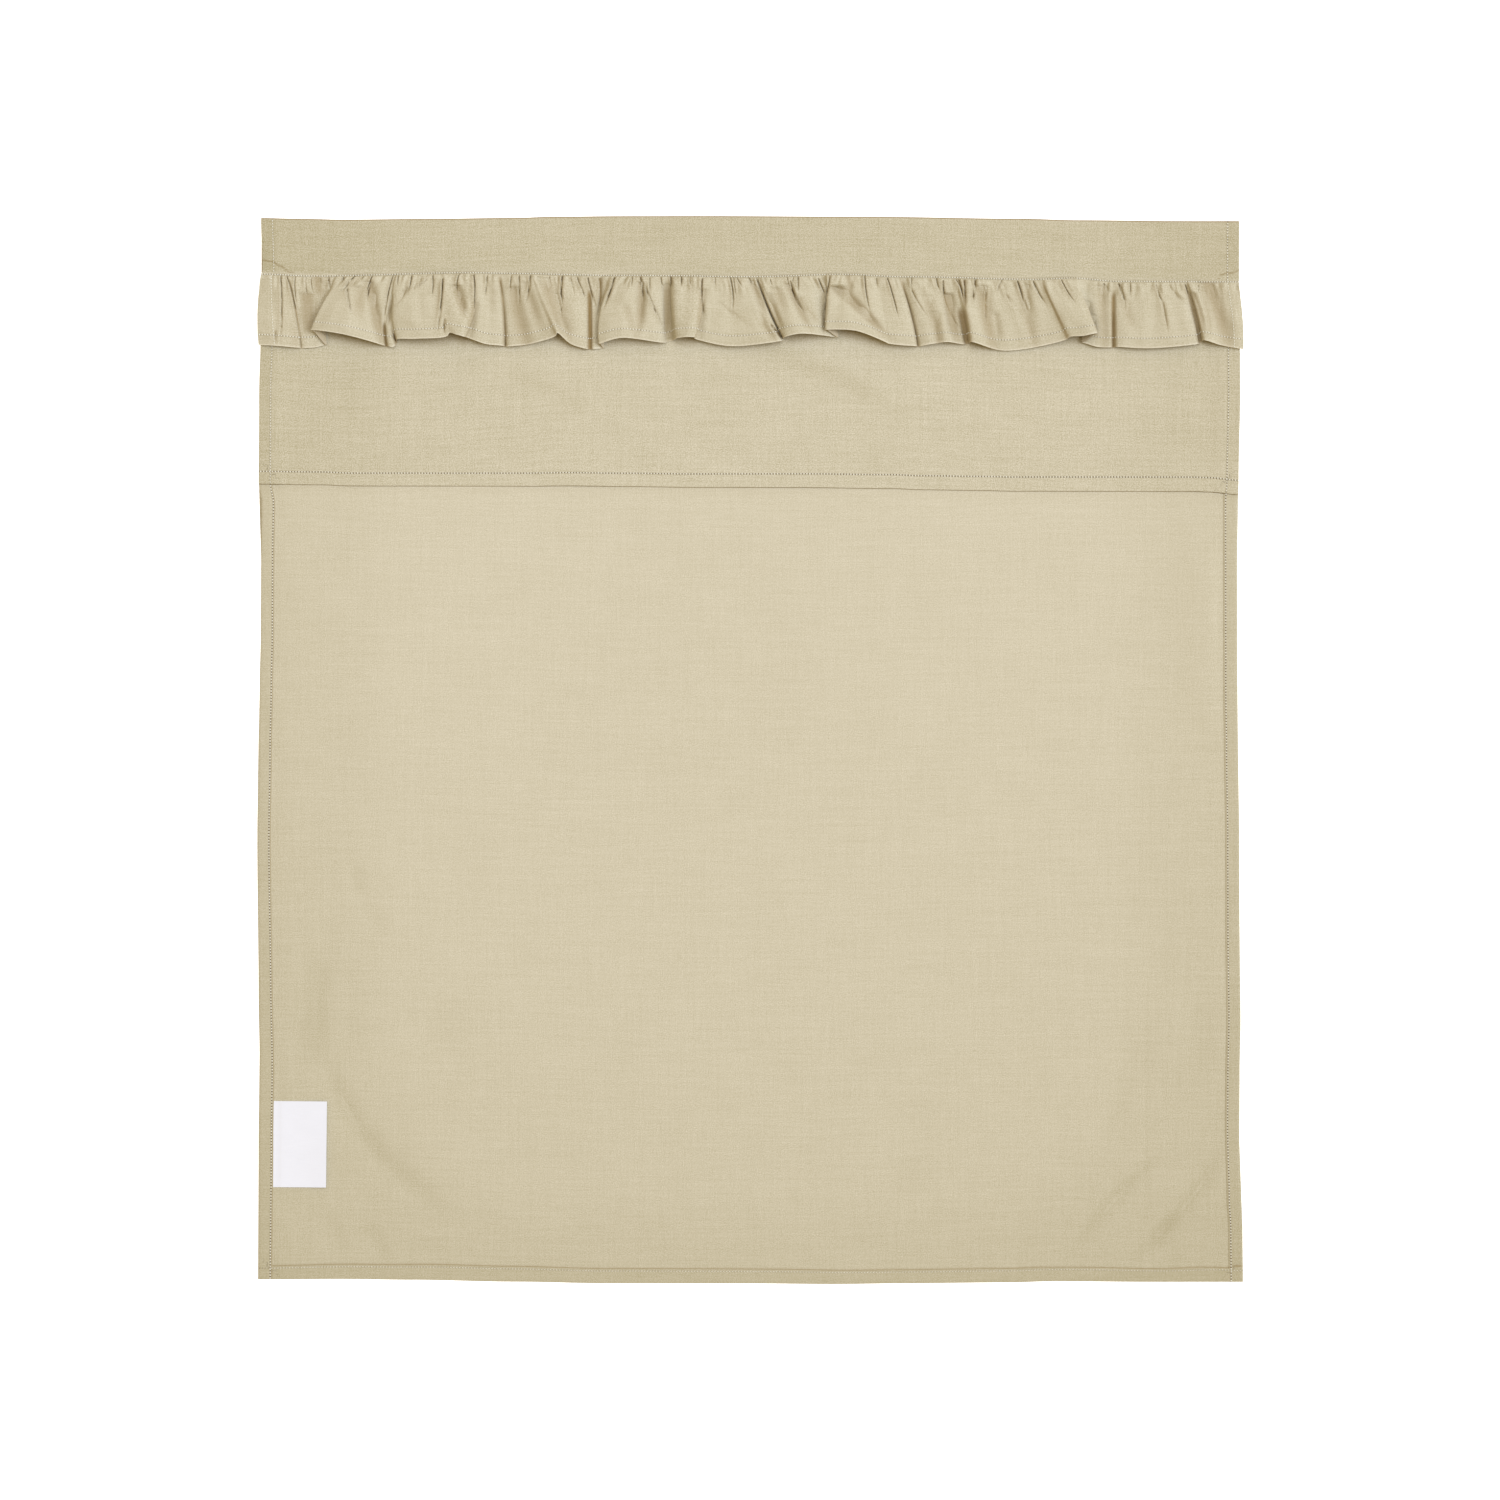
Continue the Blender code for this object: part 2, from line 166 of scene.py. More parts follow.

# The frill's folds from left to right: x of each one's left and right edge at the seam, half
# way and at the hem, its height and its reach below the seam at the left edge, the crest and
# the right edge, where the crest lies across it, and how it joins the next fold: the join's
# kind, the share of the depth at which the gap there opens, and how dark the painted shade in that gap is.
Panel = namedtuple("Panel", "seam_left seam_right middle_left middle_right hem_left hem_right "
                            "rise_left rise_crest rise_right "
                            "reach_left reach_crest reach_right crest join opens dark")
PANELS = [Panel(*row) for row in [
    (-374, -354.4, -376.9, -349, -376.2, -345, 1.5, 3, 2.5, 55, 55.5, 56.5, 0.45, "slot", 0, 0.4),
    (-352.4, -319, -346.9, -325, -342.9, -324, 1.2, 1.2, 1.5, 56.5, 55.5, 53.5, 0.5, "lap", 0, 0),
    (-312, -275, -326.4, -281.5, -336, -280.5, 5.5, 10, 4, 42.3, 46, 55, 0.45, "slot", 0.62, 0.7),
    (-273.4, -271.8, -278.6, -276, -277, -271.8, 3, 3.5, 3, 55.5, 56.5, 55.5, 0.5, "slot", 0.8, 0.7),
    (-270, -236.5, -274, -237.5, -270.2, -232, 5.5, 8.5, 9.5, 50.5, 50.5, 49, 0.4, "step", 0, 0.05),
    (-234, -212, -235, -211, -230, -219, 10, 12, 11.5, 46.5, 48, 49.5, 0.5, "step", 0.4, 0.2),
    (-209, -193.4, -209.5, -189.9, -217, -188.8, 7.5, 5, 2.5, 50, 55, 56.5, 0.5, "slot", 0, 0.55),
    (-191, -168.5, -187.2, -160, -186, -149, 2.5, 4.5, 7.5, 57, 54.5, 48.5, 0.5, "step", 0, 0),
    (-166.5, -125, -156.9, -124.6, -147.4, -124.6, 10, 6, 2.5, 46, 54, 57.5, 0.45, "slot", 0.15, 0.78),
    (-121.4, -109, -120.6, -112.5, -120.2, -111.5, 1.5, 1.2, 1.5, 57.5, 57, 56.5, 0.5, "lap", 0, 0),
    (-103, -66.5, -114, -66.8, -115.5, -66.5, 5.5, 9, 4, 53, 48.5, 52, 0.35, "slot", 0, 0.2),
    (-60, -37.5, -58.5, -36.8, -55.5, -42.4, 8, 11, 10.5, 48.5, 47.5, 47.5, 0.5, "step", 0, 0.2),
    (-35, 4, -35.3, 13, -42, 24.2, 6.5, 4.5, 5.5, 48.5, 54, 50, 0.4, "slot", 0, 0.3),
    (6.4, 55.5, 15.6, 63.5, 27, 68, 8, 11, 3.5, 47, 44.5, 48.5, 0.3, "lap", 0, 0),
    (61.5, 97, 59, 101, 58, 105.5, 9, 10.5, 6.5, 43, 43.8, 52.3, 0.5, "step", 0, 0),
    (97.5, 113, 101.5, 122.2, 106, 127.5, 6.2, 6, 3.5, 52.6, 53.5, 54, 0.5, "slot", 0, 0.5),
    (115.8, 150, 124.6, 157.6, 130.6, 163.6, 2.5, 6.5, 3, 54, 50.5, 52, 0.6, "slot", 0.42, 0.58),
    (160.5, 221.5, 166.4, 232.6, 170.4, 242.6, 8, 2.5, 6, 50, 56, 46.8, 0.35, "step", 0, 0.45),
    (223.6, 248, 234.2, 259, 245.4, 267, 8, 11, 10, 44.8, 44.5, 43, 0.5, "lap", 0, 0),
    (253, 277, 256, 276.9, 254.5, 276.9, 2.5, 4, 3, 50, 52, 51.5, 0.5, "slot", 0.12, 0.7),
    (280.6, 331.5, 280.8, 338.2, 281.2, 343.4, 3, 4.5, 3, 51, 52, 48.5, 0.4, "slot", 0.1, 0.5),
    (335.5, 374.6, 343.8, 378, 348.4, 378.8, 7, 4.5, 2, 45.5, 49, 52.5, 0.4, "end", 0, 0),
]]
SEAM_RISE = 0.05  # the share of a fold's height that is left at the seam
PUFF = 0.6  # below 1, the folds stand up soon after the seam
LAP_RADIUS = 0.7
BACK_SHADE = 0.42  # painted shade on the wrong side of the cloth, where it shows in the shade under a lap
LAP_OPENS = 16.0
SLOT_SLOPE = 4.0  # the deepest that a slot may be, for its width
CREASE_SHARPNESS = 0.75  # the pinched part, as a share of a crease's half width
FRILL_DEPTH = 55.0
FRILL_HEM_START = 0.845
FRILL_STITCHED_AT = 0.855
SEAM_STITCHED_AT = 0.016
SEAM_TOP = -0.02  # the frill's upper edge, in the ditch above the stitches
END_HEM = 8.5

# Creases of the frill and, from a half width of 2, its soft valleys: x and share of its depth
# at each end, the line's bow, then how deep it is pinched and its half width.
Crease = namedtuple("Crease", "x1 v1 x2 v2 bow depth width")
CREASES = [Crease(*row) for row in [
    (-363, .79, -363.5, .98, 0, .9, 1.5), (-359, .03, -359.5, .97, 1, 1.5, .8),
    (-354.3, .03, -343.8, 1, 1.5, 1.9, .7), (-348, .03, -346.5, .46, -1, 1, .6),
    (-345, .45, -349, 1.2, 0, 1, 6), (-340, .04, -335.5, .45, -1.5, .9, .7),
    (-339, .25, -339, .85, .5, 3.2, 5), (-336, .05, -331, .35, -1.5, 1, .7),
    (-332, .02, -328, .34, 0, 2.6, 4), (-322.5, .03, -321.5, .21, 0, 2, .6),
    (-311.5, .04, -312, .14, 1, 1.4, .8), (-309.5, .25, -315.5, .31, 0, .8, .8),
    (-308, .25, -304, .66, -.5, 1.5, .7), (-307.5, .11, -309.5, .24, .5, 2.2, .9),
    (-302, .02, -305.5, .1, 0, 2.2, .8), (-300, .03, -310, .28, 0, 1.1, 3),
    (-297, .2, -301, .75, 0, 1.7, 5), (-295.5, .03, -297, .1, 0, .9, .7),
    (-292, .12, -279.5, 1.15, 0, 3.2, 4.2), (-289, .04, -292, .42, -1.2, 2.6, .7),
    (-273.8, .34, -278, .74, 0, 2.4, 2), (-273, .03, -280, .68, -1.2, 1.6, .8),
    (-269, .04, -269.5, .2, 0, 1.2, .6), (-261.8, .22, -272.5, .5, 0, 2, 2.2),
    (-258.5, .05, -262, .31, .5, 1.5, .7), (-248, .05, -264, .3, 0, .8, 3),
    (-247, .11, -260.5, .27, 1.5, .8, .8), (-242.5, .05, -243, .37, .5, 1.6, .6),
    (-234.8, .12, -238.8, .9, 1, 2.7, .8), (-233.5, .77, -233.5, .95, 0, 1.5, 1.4),
    (-225, .2, -215, .8, -.5, 2.5, 4), (-222, .03, -223.5, .33, -1, 1.6, .7),
    (-211, .05, -211.5, .68, 1.2, 2.4, .8), (-210, .45, -217, 1.15, .5, 2.4, 2.8),
    (-201, .06, -202.5, .36, 0, 1.4, .6), (-200, .04, -197, .65, 0, .7, 5),
    (-182.5, .05, -184, .27, 0, 1.1, .7), (-181, .2, -168, 1.25, -1, 2.2, 6),
    (-176.5, .05, -176.5, .45, 0, 1.9, .7), (-172.5, .14, -158, .95, 0, 1.3, 4),
    (-168, .05, -172, .43, 1, 2, .8), (-157, .08, -142, 1.1, 0, 2.2, 6),
    (-153, .04, -154.5, .22, 0, 1.1, .7), (-147, .3, -136, 1.15, 0, 1.6, 5),
    (-146.5, .6, -140, .9, -1, .8, 4), (-143.5, .04, -144.3, .58, -.5, 3.2, .9),
    (-137, .06, -134, .3, 0, .6, .7), (-132, .05, -124, .37, -.5, 1.4, .7),
    (-124, .05, -117, .48, -.5, 2.2, .8), (-115, .05, -116.5, .55, 1.5, 2.8, 1.3),
    (-103.5, .05, -111.5, .48, .5, 2.6, 1.1), (-95, .5, -86, 1.1, 0, 1, 4),
    (-90, .03, -91, .21, .5, 1.1, .7), (-84, .03, -81, .42, .5, 1.8, 1.1),
    (-83, .03, -81, .29, 0, 1.1, .7), (-83, .12, -86, .95, 1, 2.6, 3.6),
    (-79.5, .2, -64, .84, -1, 1.7, .7), (-76.5, .05, -76.5, .26, 0, 1, .6),
    (-68, .04, -65, .27, -.5, 1.2, .7), (-63.5, .15, -64, 1.05, .5, 3, 3),
    (-60.5, .03, -60.5, .22, .5, 2.4, 1.1), (-52.5, .03, -53, .2, .5, 1.8, .8),
    (-50, .08, -42, .34, 0, .8, 5), (-45.5, .03, -45, .17, -.5, 1, .6),
    (-36.3, .06, -34.6, .7, -1, 2.2, 1.2), (-36, .22, -40, 1.15, 0, 2.2, 3),
    (-26.5, .03, -26.5, .15, 0, .9, .6), (-24, .4, -3, .68, 0, 1, 2.4),
    (-15, .03, -13.5, .51, 1.5, 1.6, .7), (-12.5, .03, -10.5, .31, 0, 1, .6),
    (-10, .03, -5.5, .18, 0, 1, .6), (-1, .03, 8, .22, -.5, 1.3, .7), (2, .08, 12, .62, 0, 2, 3),
    (5, .05, 7.5, .14, 0, 1.3, .6), (5, .55, 22, 1.08, 0, 1.5, 3.5), (9, .1, 25, .82, -.5, .3, 1.2),
    (15, .3, 27, 1.05, 0, 1.7, 2.4), (15.5, .07, 17, .16, 0, .8, .6), (16.5, .75, 25, 1, .5, 2, 1.5),
    (20, .2, 27, .7, 0, 1.3, 4), (28.5, .04, 31.5, .31, 0, 1.1, .7), (29, .15, 47, 1, 0, 2.3, 3),
    (31, .1, 37, .5, 0, 1.8, 1.1), (32, .23, 41.5, .62, -.5, 1.7, 1),
    (33.5, .03, 32.5, .15, 0, .9, .6), (36, .35, 52, .82, -2, 1.6, 4), (37, .04, 37, .28, 0, 1.8, .7),
    (52.5, .08, 58, .33, 0, 2, .8), (58.5, .47, 56, 1.02, 0, .9, 1.9),
    (61.5, .04, 58.5, .47, 0, 1.8, .9), (66, .22, 108, .98, -2, 3.6, 6),
    (75, .03, 75, .38, 1.5, 1.6, 2.8), (88, .03, 92, .6, -.8, 1.9, .7), (97, .05, 97.5, .18, 0, 1, .6),
    (105.5, .05, 113.5, .59, .5, 2.2, .7), (124, .03, 123.5, .18, 0, 1.2, .7),
    (124, .2, 137, .62, -1, 1, 1), (136, .3, 146, 1.15, -1, 1.2, 4), (141, .55, 145, 1.3, .5, 1.5, 4),
    (143, .03, 145.5, .22, -.5, 1.2, .7), (148, .07, 161.5, .79, -3.5, 2.4, .8),
    (151, .25, 161, 1.12, -1, 3.2, 4), (158, .05, 163, .3, 1, 1.4, .9),
    (160, .05, 163.5, .42, .8, 2, 1.1), (164, .05, 164.5, .49, .5, 2.5, 1.4),
    (172.8, .03, 169.5, .42, .5, 2.4, 1.3), (176.5, .12, 188, 1.2, 0, 2.6, 5),
    (181, .17, 180.5, .66, 0, 2.2, .7), (188, .48, 190.5, .89, .5, 1, 3),
    (193.5, .03, 189, .22, -.5, 1.1, .7), (196.5, .24, 209, .54, 0, 1, 1.3),
    (205, .05, 210.5, .41, .5, 2.8, .9), (206.5, .32, 220, 1.1, .5, 1.3, 4),
    (212, .1, 214, .54, 0, 1.4, 2.6), (217, .05, 227.5, .43, -.5, 1.4, .9),
    (238.5, .05, 248.5, .43, -.5, 1.8, .6), (258, .35, 268, 1.05, 0, 1.4, 4),
    (263.5, .55, 268.5, .77, -5.5, .9, 5), (270, .1, 272, 1.3, 0, 1.7, 4.5),
    (271, .06, 276, .18, -.5, 1.6, .9), (282.5, .05, 288, .33, 0, 2.4, 1.1),
    (285, .2, 293.5, .8, 0, 1, 4), (291, .04, 290, .24, 1, .8, .6), (311, .07, 316, .33, -.5, 1.8, .7),
    (316, .33, 320, .8, .5, 1, 1.4), (318, .08, 338, .4, -1, 1.6, 2.6),
    (333.5, .07, 336.5, .26, 0, 2, .8), (339, .2, 346.5, .98, 2.5, 2, 2.4),
    (343.5, .07, 343.5, .22, 0, 1, .6), (345, .1, 352, .95, 1.5, 1.2, 3),
    (350, .02, 368, 1.2, 2, 2.6, 6),
]]

LABEL_WIDTH = 41.0
LABEL_HEIGHT = 66.0
LABEL_TOP = -269.5
LABEL_LEFT = -364.9
LABEL_THICKNESS = 0.25
LABEL_LIFT = 1.1

COTTON_LIGHT = (0.554, 0.511, 0.377)
COTTON_DEEP = (0.479, 0.437, 0.304)
THREAD = (0.79, 0.775, 0.66)
SHADE_AND_SPECK_BROWN = (0.19, 0.104, 0.004)  # painted shade in pinches, creases, gaps and below the frill's hem; also the cloth's small dark specks
HOLE_SHADE_BROWN = (0.12, 0.085, 0.045)  # painted shade in a needle hole
LABEL_WHITE = (0.745, 0.765, 0.815)
FLOOR_WHITE = (0.94, 0.94, 0.94)
COOL_LIGHT = (0.89, 1.0, 1.26)
WARM_LIGHT = (1.0, 0.79, 0.45)

CAMERA_HEIGHT = 2.716
LENS_MM = 85.0


def smooth_step(value):
    """0 below 0, 1 above 1, with a soft start and end between them."""
    held = np.clip(value, 0.0, 1.0)
    return held * held * (3 - 2 * held)


def bell(distance, width):
    """1 at a distance of 0, falling off softly to about a third at the given width."""
    return np.exp(-(distance / width) ** 2)


def edge_at(table, along):
    """The offset of a wandering edge, by soft steps between the table's rows."""
    places = np.array([row.along for row in table], float)
    offsets = np.array([row.offset for row in table], float)
    start = np.clip(np.searchsorted(places, along) - 1, 0, len(table) - 2)
    share = smooth_step((along - places[start]) / (places[start + 1] - places[start]))
    return offsets[start] + share * (offsets[start + 1] - offsets[start])


def normals_of(points):
    """Unit normals of a grid of points, rows by columns."""
    across = np.gradient(points, axis=1)
    along = np.gradient(points, axis=0)
    normal = np.cross(across, along)
    return normal / np.maximum(np.linalg.norm(normal, axis=2, keepdims=True), 1e-9)


def placed(name, data):
    """A new object in the scene that shows the given data."""
    made = bpy.data.objects.new(name, data)
    bpy.context.collection.objects.link(made)
    return made


def closed_cloth(name, over, under, under_rows, attributes, surface):
    """A closed thin cloth. over is a grid of points, and under the same grid on the other
    side, of which only some rows are kept. attributes are {name: grid of values}."""
    rows, columns = over.shape[:2]
    kept = list(under_rows)
    top = np.arange(rows * columns).reshape(rows, columns)
    low = rows * columns + np.arange(len(kept) * columns).reshape(len(kept), columns)

    def quads(grid, turned):
        ring = [grid[:-1, :-1], grid[:-1, 1:], grid[1:, 1:], grid[1:, :-1]]
        if turned:
            ring.reverse()
        return np.stack(ring, axis=2).reshape(-1, 4).tolist()

    faces = quads(top, False) + quads(low, True)
    for end in (0, -1):
        ring = [top[end, 1:], top[end, :-1], low[end, :-1], low[end, 1:]]
        if end == -1:
            ring.reverse()
        faces += np.stack(ring, axis=1).tolist()
    for step, (start, end) in enumerate(zip(kept, kept[1:])):
        left = top[start:end + 1, 0].tolist() + [low[step + 1, 0], low[step, 0]]
        right = top[start:end + 1, -1].tolist() + [low[step + 1, -1], low[step, -1]]
        faces += [left, right[::-1]]

    points = np.concatenate([over.reshape(-1, 3), under[kept].reshape(-1, 3)])
    mesh = bpy.data.meshes.new(name)
    mesh.from_pydata((points * MM).tolist(), [], faces)
    mesh.shade_smooth()
    mesh.set_sharp_from_angle(angle=math.radians(60))
    for label, values in attributes.items():
        both = np.concatenate([values, values[kept]]).astype(np.float32)
        if values.ndim == 3:
            mesh.attributes.new(label, "FLOAT_VECTOR", "POINT").data.foreach_set("vector", both.ravel())
        else:
            mesh.attributes.new(label, "FLOAT", "POINT").data.foreach_set("value", both.ravel())
    mesh.materials.append(surface)
    return placed(name, mesh)


def waves(x, y, seed, spacing, count=24):
    """Smooth uneven heights of about -1 to 1, from plane waves of nearly one wavelength."""
    random = np.random.default_rng(seed)
    total = np.zeros(np.broadcast(x, y).shape)
    for _ in range(count):
        heading = random.uniform(0, math.tau)
        length = spacing * random.uniform(0.7, 1.6)
        phase = random.uniform(0, math.tau)
        total += np.sin((x * math.cos(heading) + y * math.sin(heading)) * math.tau / length + phase)
    return total / math.sqrt(count)


def ridge_height(x, y, ridges):
    """The height that a list of soft ridges adds."""
    total = np.zeros(np.broadcast(x, y).shape)
    for ridge in ridges:
        run = np.array([ridge.x2 - ridge.x1, ridge.y2 - ridge.y1], float)
        length = np.linalg.norm(run)
        run /= length
        share = ((x - ridge.x1) * run[0] + (y - ridge.y1) * run[1]) / length
        held = np.clip(share, 0.0, 1.0)
        off = (y - ridge.y1) * run[0] - (x - ridge.x1) * run[1] - ridge.bow * 4 * held * (1 - held)
        taper = smooth_step(share / 0.3) * smooth_step((1 - share) / 0.3)
        total += ridge.height * taper * bell(off, ridge.width)
    return total


def slack(x, y):
    """0 in the middle part of the sheet and 1 outside it, where painted shade darkens the cloth."""
    centre = (UNSHADED_MIDDLE.left + UNSHADED_MIDDLE.right) / 2
    beside = np.abs(x - centre) - (UNSHADED_MIDDLE.right - centre - UNSHADED_MIDDLE.radius)
    below = UNSHADED_MIDDLE.foot + UNSHADED_MIDDLE.radius - y
    away = np.hypot(np.maximum(beside, 0), np.maximum(below, 0)) + np.minimum(np.maximum(beside, below), 0)
    soft = UNSHADED_MIDDLE.left_soft + (UNSHADED_MIDDLE.right_soft - UNSHADED_MIDDLE.left_soft) * smooth_step(x / 400 + 0.5)
    return smooth_step((away - UNSHADED_MIDDLE.radius) / soft + 0.5)


def tuck_below(tuck, x, y):
    """How far a point of the band lies below the line of a tuck (1 = well below), and how
    close to that line it is."""
    line = edge_at(SEAM, x) + edge_at(tuck, x)
    within = smooth_step((x - tuck[0].along) / 1.5 + 1) * smooth_step((tuck[-1].along - x) / 1.5 + 1)
    gap = line - y
    return within * smooth_step(gap / 0.7 + 0.5), within * bell(gap - 0.1, 0.55)


def down_height(x, y):
    """Height of the middle surface of the turned-down layer."""
    side = np.minimum(x - edge_at(LEFT_EDGE, y), edge_at(RIGHT_EDGE, y) - x)
    to_fold = edge_at(FOLD_EDGE, x) - LAYER / 2 - FOLD_RADIUS - y
    to_head = y - edge_at(HEAD_EDGE, x)
    above_seam = y - edge_at(SEAM, x) - 1.0

    def fading(distance, flat, reach):
        return 1 - smooth_step((distance - flat) / (reach - flat))

    at_side = SIDE_RISE * fading(side, 11.0, SIDE_REACH)
    at_head = HEAD_RISE * fading(to_head, 12.0, HEAD_REACH)
    at_fold = FOLD_RISE * fading(to_fold, 0.0, FOLD_REACH)
    rise = np.maximum(np.maximum(at_side, at_head), at_fold)
    lip = ALLOWANCE_RISE * fading(above_seam, 0.0, ALLOWANCE) * smooth_step(above_seam / 0.7 + 1)
    inner = smooth_step(np.minimum(side, to_head) / 30)
    uneven = (0.12 * waves(x, y, 4, 70) + ridge_height(x, y, DOWN_RIDGES)) * inner
    sunk = sum(tuck_below(tuck, x, y)[0] for tuck in TUCKS) * smooth_step(above_seam / 2 + 1)
    return DOWN_HEIGHT + rise + lip - TUCK_DROP * sunk + uneven * smooth_step(to_fold / 20)


HEM_STATIONS = np.array([0, .03, .09, .25, .5, .75, .83, .87, .91, .97, 1.0, 1.04, 1.09, 1.2, 1.35, 1.5,
                         1.65, 1.8, 1.95, 2.1])


def near_and_between(width, first_hem, last_hem, count):
    """Distances across a width: stations over the hem at each end, and even ones between."""
    width, first_hem, last_hem = np.broadcast_arrays(width, first_hem, last_hem)
    near = first_hem[..., None] * HEM_STATIONS
    far = width[..., None] - last_hem[..., None] * HEM_STATIONS[::-1]
    share = np.arange(1, count + 1) / (count + 1)
    between = near[..., -1:] + share * (far[..., :1] - near[..., -1:])
    return np.concatenate([near, between, far], axis=-1)


def hem_shape(q):
    """Extra thickness of a hem at q hem widths from its edge, with its stitches' groove."""
    return (1 - smooth_step((q - 1.0) / 0.04)) - 0.12 * bell(q - STITCHED_AT, 0.05)


def sheet_rows(x):
    """Heads of the sheet's rows for columns at x: y, height of the middle surface (nan where it
    is the turned-down part, which marks each row's kind), length along the cloth."""
    foot = edge_at(FOOT_EDGE, x)
    head = edge_at(HEAD_EDGE, x)
    centre = edge_at(FOLD_EDGE, x) - LAYER / 2 - FOLD_RADIUS
    seam = edge_at(SEAM, x)
    rows = []
    for distance in (edge_at(FOOT_HEM, x)[:, None] * HEM_STATIONS).T:
        rows.append((foot + distance, BODY_HEIGHT + 0 * x, distance))
    start = rows[-1][0]
    for share in np.linspace(0, 1, 152)[1:]:
        y = start + share * (centre - start)
        rows.append((y, BODY_HEIGHT + 0 * x, y - foot))
    for turn in np.linspace(0, math.pi, 12)[1:-1]:
        y = centre + FOLD_RADIUS * math.sin(turn)
        height = BODY_HEIGHT + FOLD_RADIUS * (1 - math.cos(turn))
        rows.append((y, height + 0 * x, centre - foot + FOLD_RADIUS * turn))
    past_fold = centre - foot + FOLD_RADIUS * math.pi
    ys = [centre + share * (seam + 12 - centre) for share in np.linspace(0, 1, 9)[:-1]]
    ys += [seam + away for away in np.linspace(12, 2, 21)]
    ys += [seam + away for away in (1.5, 1.15, 0.85, 0.6, 0.3, -0.3, -1.2, -2.5)]
    last = head + edge_at(HEAD_HEM, x) * HEM_STATIONS[-1]
    ys += [seam - 4 + share * (last - seam + 4) for share in np.linspace(0, 1, 38)[:-1]]
    ys += [head + edge_at(HEAD_HEM, x) * q for q in HEM_STATIONS[::-1]]
    rows += [(y, np.nan + 0 * x, past_fold + centre - y) for y in ys]
    return [np.array(part) for part in zip(*rows)]


def sheet_tones(x, y, down, side, foot, above_seam):
    """How far the cloth's colour goes from its light tone to its deep one: deeper in the hems and the
    turned-down layers and darker towards the foot, with painted shade along the creases and towards the
    sheet's edges.
    """
    band = smooth_step(above_seam / 2 - 0.2)
    # Painted shade along the creases, outside the middle part of the sheet and towards its sides.
    painted_shade = np.where(down, ridge_height(x, y, DOWN_SHADE_MARKS), ridge_height(x, y, BODY_SHADE_MARKS))
    painted_shade = painted_shade + 0.26 * slack(x, np.where(down, 0.0, y)) + 0.12 * (x / 350) ** 2
    corners = smooth_step((x - 220) / 90) * smooth_step((-320 - y) / 50)
    beside_body = np.where(x < 0, 0.24, 0.12) * bell(HALF_WIDTH - np.abs(x), 22)
    on_body = (0.6 * np.clip((150 - y) / 560, 0, 1) ** 1.6 + 0.6 * np.clip(side, 0, 1) + 0.16 * corners
               + beside_body * (side < 0.5)
               + 0.5 * np.clip(foot, 0, 1) * (side < 0.5)
               + 0.14 * bell(x + 20, 140) * smooth_step((y + 200) / 300))
    on_down = (0.51 + 0.56 * band - np.where(x < 0, 0.08 - 0.05 * band, 0.08 + 0.1 * band) * x / HALF_WIDTH
               + 0.25 * np.clip(side, 0, 1)
               + 0.16 * bell(x + HALF_WIDTH, 22))
    return painted_shade + np.where(down, on_down, on_body)


def sheet_shade(x, y, down, side, hem_places, above_seam):
    """How dark the painted shade is in the pinches at the hems' inner edges, at the seam and at the tucks.
    """
    left_q, right_q, foot_q = hem_places
    corner_gap = y + 396.4 - 0.1 * (x - 370)
    fold_line_shade = (0.34 * bell(left_q - 0.99, 0.045)
                 + 0.16 * bell(right_q - 0.97, 0.04)
                 + 0.58 * bell(foot_q - 1.05, 0.035) * (side < 0.5)
                 + 0.6 * bell(corner_gap, 0.6) * smooth_step((x - 364) / 8))
    shade = np.where(down, 0.03 * bell(above_seam - 0.9, 0.45), fold_line_shade)
    for tuck in TUCKS:
        shade = np.maximum(shade, np.where(down & (above_seam > 1), 0.5 * tuck_below(tuck, x, y)[1], 0.0))
    return shade


COLUMNS_BETWEEN = 172  # columns of the sheet between its side hems
UNDER_STEP = 12  # the flat part's underside keeps one row in this many
ROLL_ROWS = 12  # the last rows before the turned-down part, round the roll at the head end


